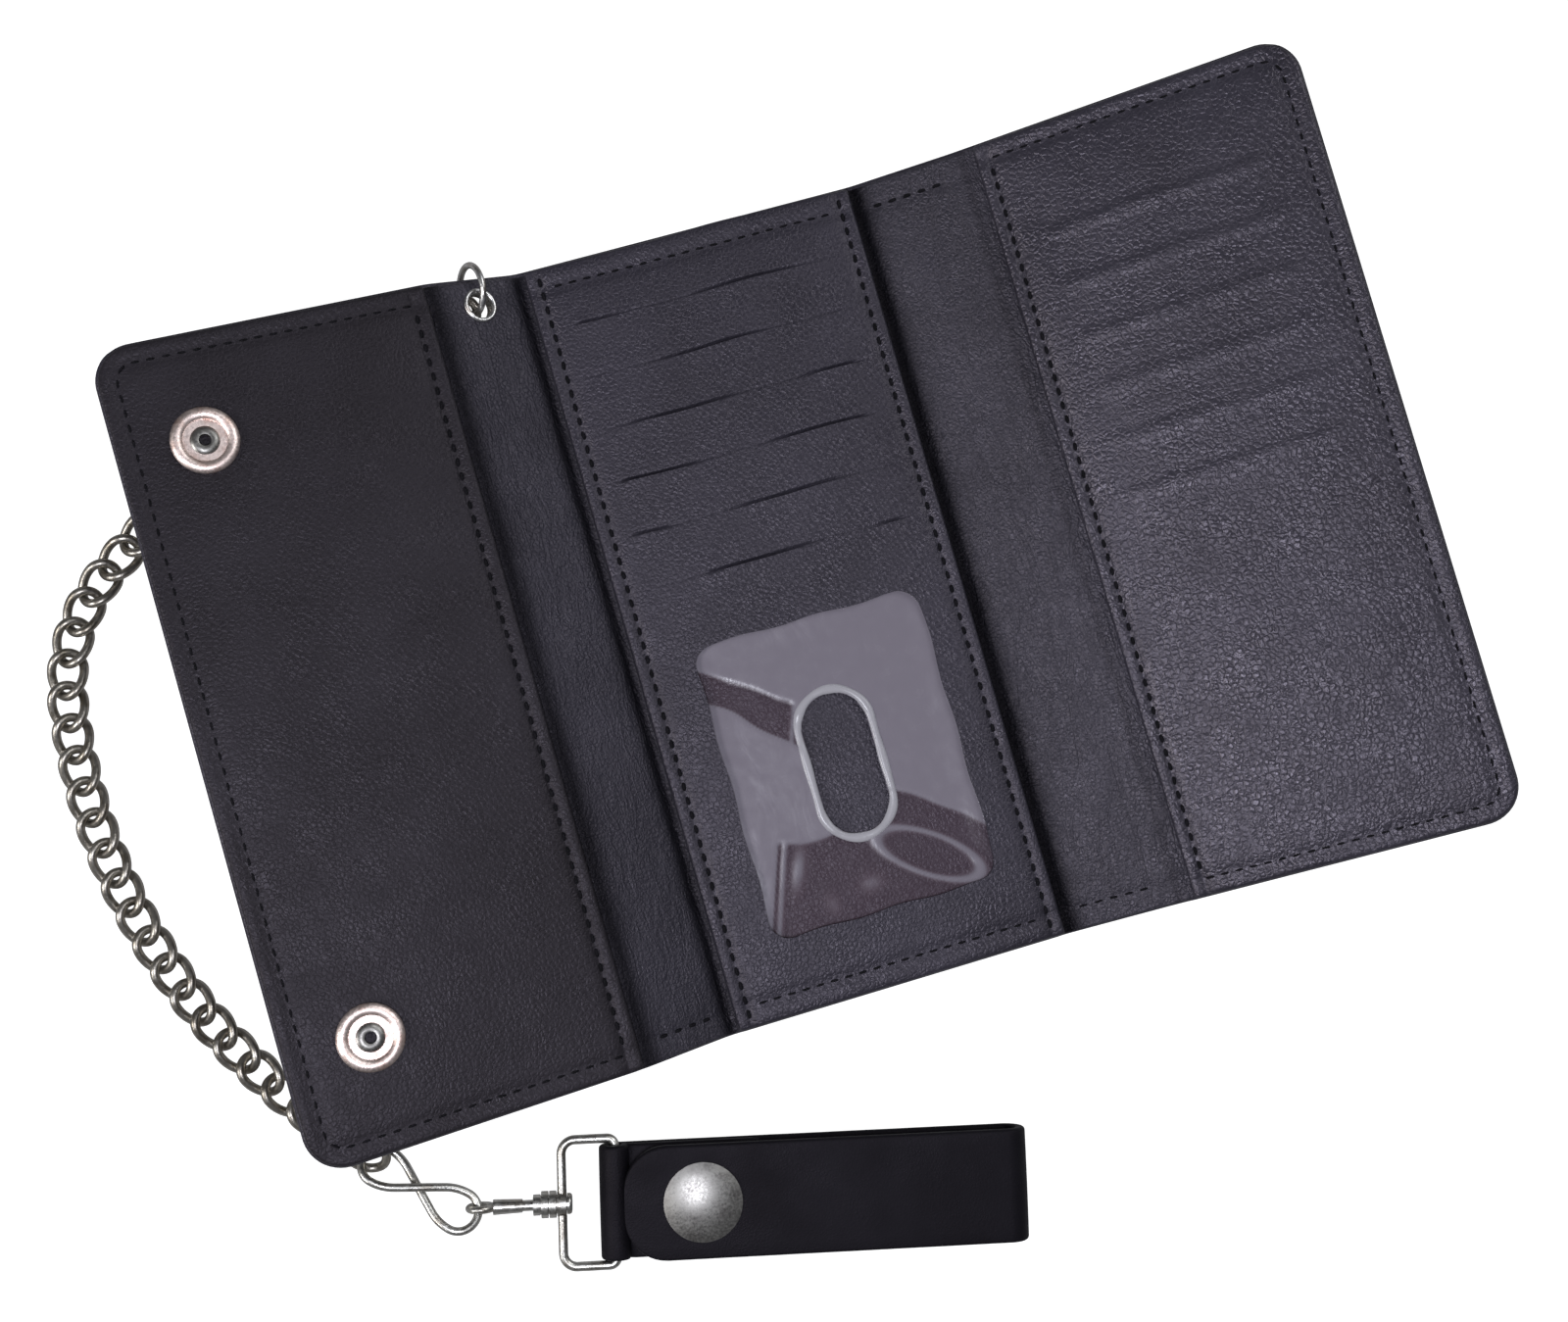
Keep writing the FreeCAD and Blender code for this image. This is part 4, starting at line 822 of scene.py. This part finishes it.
def window_painted_reflection(s, y):
    """Painted reflection: 1 where the soft sheet catches the light and 0 where it is clear: in a band from
    its left edge to the thumb hole, and below the hole, where a looped crease and glints catch the light
    again.
    u and v run right and down from the window's upper left corner."""
    u, v = s - (WINDOW_X - WINDOW_WIDTH / 2), WINDOW_Y + WINDOW_HEIGHT / 2 - y
    level = v + 0.5 * np.sin(u / 2.9) + 0.35 * np.sin(v / 2.1 + u / 5)
    band_top, band_low = 5 + u * 0.62, 11.5 + u * 0.86
    band = smooth(level, band_top - 0.5, band_top + 0.5) * (1 - smooth(level, band_low - 0.5, band_low + 0.5))
    band *= 1 - smooth(u, 17, 18)
    left_side = 6.5 - (v - 43) * 0.36
    left_low = smooth(u, left_side - 0.4, left_side + 0.4) * (1 - smooth(u, 22, 28))
    left_low *= smooth(level, 43.0 + u * 0.08, 44.2 + u * 0.08)
    right_line = 41.8 + (u - 36) * 0.74
    right_low = smooth(u, 20, 23) * smooth(level, right_line - 0.6, right_line + 0.6)
    dark = np.maximum(band, np.maximum(left_low, right_low))
    # The looped crease, the streak and the glints are painted highlights
    along = (u - 36) * 0.82 + (v - 54.5) * 0.57
    across = -(u - 36) * 0.57 + (v - 54.5) * 0.82
    loop = bell(np.hypot(along / 11.5, across / 4.2) - 1, 0.13)
    streak = bell(u - left_side - 1.6, 0.6) + oval(u, v, left_side + 5, 50, 1.3, 4)
    glints = streak + 0.6 * oval(u, v, 23, 57, 2.2, 1.6) + 0.45 * oval(u, v, 14, 59, 1.4, 2.0)
    return np.clip(1 - dark + 0.9 * loop * dark + 0.7 * np.clip(glints, 0, 1) * dark, 0, 1)


def window_ripple(s, y):
    """The soft sheet's bulges and buckles: it stands highest where it catches the light."""
    return -0.4 + waves(s, y, 61, 34, 0.12) + 0.22 * window_painted_reflection(s, y)


def id_window():
    """The clear sheet with its thumb hole, the rim round the hole and the dark sheet behind the card."""
    top = MIDDLE_TOP - 1.0
    border = 3.0
    span = (WINDOW_X - WINDOW_WIDTH / 2 - border, WINDOW_X + WINDOW_WIDTH / 2 + border)
    y_span = (WINDOW_Y - WINDOW_HEIGHT / 2 - border, WINDOW_Y + WINDOW_HEIGHT / 2 + border)

    def film(level):
        return lambda s, y, distance: top + level + window_ripple(s, y) * smooth(distance, 2, 8)

    clear = sheet("clear_window", span, y_span, film(-0.3), film(-0.02), VINYL, rounding=0.15,
                  step=0.55)
    hole = rounded_outline(WINDOW_X, WINDOW_Y, THUMB_WIDTH, THUMB_HEIGHT, THUMB_WIDTH / 2)
    cut(clear, outline_cutter(hole, -2, 12))
    places = places_of(clear)
    # Painted reflection, stored for the vinyl's colour and clearness
    store(clear, "painted_reflection", window_painted_reflection(places[:, 0], places[:, 1]))
    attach(clear, "middle")
    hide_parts("id_window")
    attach(rim_bead(top), "middle")
    back = sheet("card_window_back", span, y_span, FACE_LOW + 0.04, FACE_LOW + 0.34, LEATHER,
                 rounding=0.15, step=3.0)
    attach(back, "middle")
    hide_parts("id_pocket_back")


def rim_bead(top):
    """A welded bead of vinyl round the thumb hole, slightly uneven in width."""
    width, height = THUMB_WIDTH + THUMB_RIM, THUMB_HEIGHT + THUMB_RIM
    path = densify(rounded_outline(WINDOW_X, WINDOW_Y, width, height, width / 2), 0.7)
    sides, points = 10, []
    ring = circle(sides)
    for i, (s, y) in enumerate(path):
        before, after = path[i - 1], path[(i + 1) % len(path)]
        along = Vector((after[0] - before[0], after[1] - before[1])).normalized()
        half = THUMB_RIM / 2 * (1 + 0.12 * math.sin(i * 0.35))
        level = top + float(window_ripple(np.array(s), np.array(y))) - 0.1
        for across, up in ring:
            shift = half * across
            points.append(place_vector(s + along.y * shift, y - along.x * shift, level + 0.42 * up))
    return tidy(new_piece("thumb_hole_rim", points, tube_faces(len(path), sides, closed=True), RIM_VINYL))


# Stitches

STITCH_PITCH, STITCH_LENGTH, STITCH_RADIUS = 3.0, 1.9, 0.38


def row_spots(row):
    """Stitch centres and directions along a row, given as a list of (s, y) points."""
    row = np.array(row)
    lengths = np.hypot(*np.diff(row, axis=0).T)
    total = np.concatenate([[0], np.cumsum(lengths)])
    count = max(1, int(total[-1] / STITCH_PITCH))
    for centre in (np.arange(count) + 0.5) * total[-1] / count:
        s, y = np.interp(centre, total, row[:, 0]), np.interp(centre, total, row[:, 1])
        ahead = np.array([np.interp(centre + 0.2, total, row[:, k]) for k in (0, 1)])
        behind = np.array([np.interp(centre - 0.2, total, row[:, k]) for k in (0, 1)])
        direction = (ahead - behind) / np.linalg.norm(ahead - behind)
        yield s, y, direction


def stitch_rows(name, body, rows, surface, seed, bold=1):
    """Thread stitches along these rows, each arched over the leather with its ends pulled down into it.
    The last rows, as many as bold says, have thicker thread."""
    random = np.random.default_rng(seed)
    sides, stations = 6, (-1.0, -0.8, -0.4, 0.0, 0.4, 0.8, 1.0)
    ring = circle(sides)
    points, faces = [], []
    for number, row in enumerate(rows):
        thickness = STITCH_RADIUS * (1 if number >= len(rows) - bold else 0.68)
        for s, y, direction in row_spots(row):
            lean = random.normal(0, 0.05)
            turn = np.array([direction[0] - lean * direction[1], direction[1] + lean * direction[0]])
            start = len(points)
            ground = float(surface(np.array(s), np.array(y)))
            for t in stations:
                radius = thickness * (1 - 0.55 * t ** 4)
                lift = 0.12 - 0.34 * t ** 4
                centre = np.array([s, y]) + turn * t * STITCH_LENGTH / 2
                for across, up in ring:
                    side = radius * across
                    points.append(place_vector(centre[0] - turn[1] * side, centre[1] + turn[0] * side,
                                               ground + lift + radius * up))
            faces += tube_faces(len(stations), sides, start)
    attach(tidy(new_piece(name, points, faces, THREAD), sharp=80), body)


def surface_of(top, span):
    """A face's height as a function of s and y alone."""
    def height(s, y):
        distance = np.minimum.reduce([s - span[0], span[1] - s, y - INNER_LOW, INNER_HIGH - y])
        return top(s, y, distance)
    return height


def side_rows(span, outer_side):
    """Rows of a side panel: round its three outer edges, and along its folded inner edge."""
    low, high = INNER_LOW + EDGE_SEAM, INNER_HIGH - EDGE_SEAM
    radius = CORNER - FACE_INSET - EDGE_SEAM
    outer, inner = (span[0], span[1]) if outer_side < 0 else (span[1], span[0])
    outer -= outer_side * EDGE_SEAM
    inner += outer_side * FOLD_SEAM
    centre_s, turn = outer - outer_side * radius, -90 * outer_side
    upper = arc((centre_s, high - radius), radius, 90, 90 + turn, 8)
    lower = arc((centre_s, low + radius), radius, 90 + turn, 90 + 2 * turn, 8)
    row = [(inner, high), *upper, *lower, (inner, low)]
    return [row, [(inner, low + 1.5), (inner, high - 1.5)]]


def all_stitches():
    sides = (("left", LEFT_SPAN, -1, left_top, 71), ("right", RIGHT_SPAN, 1, right_top, 72))
    for side, span, outer_side, top, seed in sides:
        stitch_rows(f"{side}_panel_stitches", f"{side}_panel", side_rows(span, outer_side),
                    surface_of(top, span), seed)
    left, right = MIDDLE_SPAN[0] + FOLD_SEAM, MIDDLE_SPAN[1] - FOLD_SEAM
    ends = (INNER_HIGH - END_SEAM, INNER_LOW + END_SEAM)
    rows = [[(left + 2, end), (right - 2, end)] for end in ends]
    rows += [[(side, INNER_LOW + 1.5), (side, INNER_HIGH - 1.5)] for side in (left, right)]
    stitch_rows("middle_stitches", "middle", rows, surface_of(middle_top, MIDDLE_SPAN), 73, bold=2)
    low, high, no_deep_line = -HALF + 5.0, HALF - MOUTH_DROP - 5.0, 1000.0
    gussets = (("left_gusset", LEFT_OUTER_FOLD, LEFT_FOLD, (low,), 11),
               ("right_gusset", RIGHT_FOLD, RIGHT_OUTER_FOLD, (low, high), 21))
    for body, left, right, ends, seed in gussets:
        heights = strip_heights(left - 1.2, right + 1.8, no_deep_line, seed)
        rows = [[(left + 3.2, end), (right - 3.2, end)] for end in ends]
        stitch_rows(f"{body}_stitches", body, rows, lambda s, y, f=heights: f(s, y, 0), seed + 60)


# Belt strap

SWIVEL_HEADING = -14.2
BAR_X, STRAP_THICKNESS, STRAP_HALF_WIDTH = 27.4, 2.0, 11.5
WRAP, FOLD_X, SNAP_X, STRAP_CORNER = 2.3, 107.825, 45.0, 8.5
LOWER_Z, TAIL_Z, UPPER_Z = -2.3, -0.15, 4.25
FLAP_END = 29.125


def swivel_frame():
    """The strap's own frame in millimetres: its origin is the swivel eye, and +X runs along the strap."""
    return Matrix.Translation(joint_place("eye_tilt")) @ Matrix.Rotation(math.radians(SWIVEL_HEADING), 4, "Z")


def straight(start, end, step=2.0):
    count = max(1, round(math.dist(start, end) / step))
    return [tuple(a + (b - a) * i / count for a, b in zip(start, end)) for i in range(count + 1)]


def strap_line():
    """The strap's centre line in side view: from the tail, round the frame's bar, along and back over."""
    rise = math.degrees(math.acos((WRAP + TAIL_Z) / (2 * WRAP)))
    tail_from = (SNAP_X + 12, TAIL_Z)
    tail_to = (BAR_X + 2 * WRAP * math.sin(math.radians(rise)), TAIL_Z)
    points = straight(tail_from, tail_to)
    points += arc((tail_to[0], TAIL_Z - WRAP), WRAP, 90, 90 + rise)[1:]
    points += arc((BAR_X, 0), WRAP, 90 - rise, 270, 20)[1:]
    points += straight((BAR_X, LOWER_Z), (FOLD_X, LOWER_Z))[1:]
    radius = (UPPER_Z - LOWER_Z) / 2
    points += arc((FOLD_X, (UPPER_Z + LOWER_Z) / 2), radius, -90, 90, 24)[1:]
    points += straight((FOLD_X, UPPER_Z), (FLAP_END + STRAP_CORNER, UPPER_Z))[1:]
    points += [(FLAP_END + STRAP_CORNER * (1 - math.sin(math.radians(a))), UPPER_Z) for a in range(10, 91, 8)]
    points.append((FLAP_END, UPPER_Z))
    return points


def half_width(x, z):
    """The strap narrows over its rounded flap end; the tail is cut square."""
    past = FLAP_END + STRAP_CORNER - x
    if z < UPPER_Z - 0.1 or past <= 0:
        return STRAP_HALF_WIDTH
    return STRAP_HALF_WIDTH - STRAP_CORNER + math.sqrt(max(0, STRAP_CORNER ** 2 - past ** 2))


def strap_section(half, thickness, radius=0.75, per_corner=4, across=10):
    """A rounded strap cross-section: (across, up) points."""
    outline = rounded_outline(0, 0, 2 * half, thickness, radius, per_corner)
    each = per_corner + 1
    points = []
    for corner, side in enumerate((1, 0, -1, 0)):
        points += outline[corner * each:(corner + 1) * each]
        for i in range(1, across if side else 0):
            t = side * (1 - 2 * i / across)
            points.append((t * (half - radius), side * (thickness / 2 + 0.05 * (1 - t * t))))
    return points


def strap_piece(name, line, first, last):
    """The strap's leather between two points of its centre line, as a closed tube."""
    local = swivel_frame()
    points = []
    for i in range(first, last + 1):
        x, z = line[i]
        before, after = line[max(0, i - 1)], line[min(len(line) - 1, i + 1)]
        along = Vector((after[0] - before[0], after[1] - before[1])).normalized()
        normal = Vector((-along.y, along.x))
        rim = i in (0, len(line) - 1)
        end = 0.45 if rim else 1.0
        half = half_width(x, z) * (0.985 if rim else 1)
        ripple = 0 if rim else 0.05 * math.sin(x * 0.35) + 0.03 * math.sin(x * 0.9 + z)
        for across, up in strap_section(half, STRAP_THICKNESS * end + ripple, 0.75 * end):
            points.append(local @ Vector((x + normal.x * up, across, z + normal.y * up)) * MM)
    rings = last + 1 - first
    return tidy(new_piece(name, points, tube_faces(rings, len(points) // rings), STRAP_LEATHER), sharp=60)


def belt_strap():
    """The strap in two lengths, which meet on its underside a little before the fold that opens."""
    line = strap_line()
    split = next(i for i, (x, z) in enumerate(line) if abs(z - LOWER_Z) < 0.01 and x > FOLD_X - 8)
    base = strap_piece("belt_strap_base", line, 0, split)
    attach(base, "strap_base")
    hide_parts("strap_lower")
    flap = strap_piece("belt_strap_flap", line, split, len(line) - 1)
    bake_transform(flap)
    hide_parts("strap_upper")


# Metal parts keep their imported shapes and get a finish

FINISHES = (
    (CAP_METAL, ("snap_caps", "strap_snap_cap")),
    (SNAP_METAL, ("snap_", "strap_snap_", "strap_back_post")),
    (EYELET_METAL, ("chain_eyelet", "eyelet_washer", "chain_ring")),
    (CHAIN_METAL, ("chain_",)),
    (SWIVEL_METAL, ("figure_eight", "swivel_")),
)


def finish_metal():
    """Gives each metal node the first finish that lists a start of its name."""
    for name, node in frame["nodes"].items():
        finish = next((finish for finish, starts in FINISHES if name.startswith(starts)), None)
        if finish:
            node.data.materials.clear()
            node.data.materials.append(finish)


# Floor, light and camera

def camera_glow(tree, extra, plain, target):
    """Makes a light strength plain, and higher by extra for what the camera sees directly."""
    rays = tree.nodes.new("ShaderNodeLightPath")
    glow = tree.nodes.new("ShaderNodeMath")
    glow.operation = "MULTIPLY_ADD"
    tree.links.new(rays.outputs["Is Camera Ray"], glow.inputs[0])
    glow.inputs[1].default_value = extra
    glow.inputs[2].default_value = plain
    tree.links.new(glow.outputs[0], target)


def white_floor():
    """A plain white floor. It looks white to the camera and is a dim grey in reflections."""
    nodes = Nodes("white_floor")
    camera_glow(nodes.tree, 0.9, 0.12, nodes.shader.inputs["Emission Strength"])
    nodes.set(Base_Color=(0.3, 0.3, 0.3, 1), Roughness=0.9, Emission_Color=(1, 1, 1, 1))
    size = 3000.0
    corners = ((-size, -size, 0), (size, -size, 0), (size, size, 0), (-size, size, 0))
    points = [Vector(corner) * MM for corner in corners]
    new_piece("floor", points, [(0, 1, 2, 3)], nodes.material)


def area_light(name, spot, target, size, power, colour):
    lamp = bpy.data.lights.new(name, "AREA")
    lamp.shape = "DISK"
    lamp.size = size * MM
    lamp.energy = power
    lamp.color = colour
    holder = add_object(name, lamp)
    holder.location = Vector(spot) * MM
    holder.rotation_euler = (Vector(target) - Vector(spot)).to_track_quat("-Z", "Y").to_euler()


def lighting():
    """Three soft lamps in a dim room that looks white to the camera."""
    world = bpy.data.worlds.new("soft_studio")
    bpy.context.scene.world = world
    world.use_nodes = True
    background = world.node_tree.nodes["Background"]
    background.inputs["Color"].default_value = (0.93, 0.95, 1.0, 1)
    camera_glow(world.node_tree, 1.0, 0.1, background.inputs["Strength"])
    area_light("key_light", (-800, -60, 640), (0, 0, 0), 320, 4.2, (1.0, 0.99, 1.0))
    area_light("sheen_light", (-99, -97, 481), (75, -60, 15), 110, 1.15, (0.88, 0.9, 1.0))
    area_light("soft_right", (650, 300, 700), (0, 0, 0), 600, 3.0, (0.95, 0.97, 1.0))


def camera():
    """The view from above, a little left of and below the wallet's middle, turned by about 16 degrees."""
    data = bpy.data.cameras.new("camera")
    data.lens = 45
    data.clip_start = 0.01
    holder = add_object("camera", data)
    right, up = Vector((0.95769, -0.27727, 0.07714)), Vector((0.27253, 0.95984, 0.06658))
    back = right.cross(up).normalized()
    matrix = Matrix((right, up, back)).transposed().to_4x4()
    matrix.translation = Vector((-42.89, -28.82, 411.59)) * MM
    holder.matrix_world = matrix
    bpy.context.scene.camera = holder


outer_leather()
gusset_strips()
linings()
faces()
card_sheets()
id_window()
all_stitches()
belt_strap()
finish_metal()
white_floor()
lighting()
camera()
bpy.context.scene.view_settings.view_transform = "Standard"
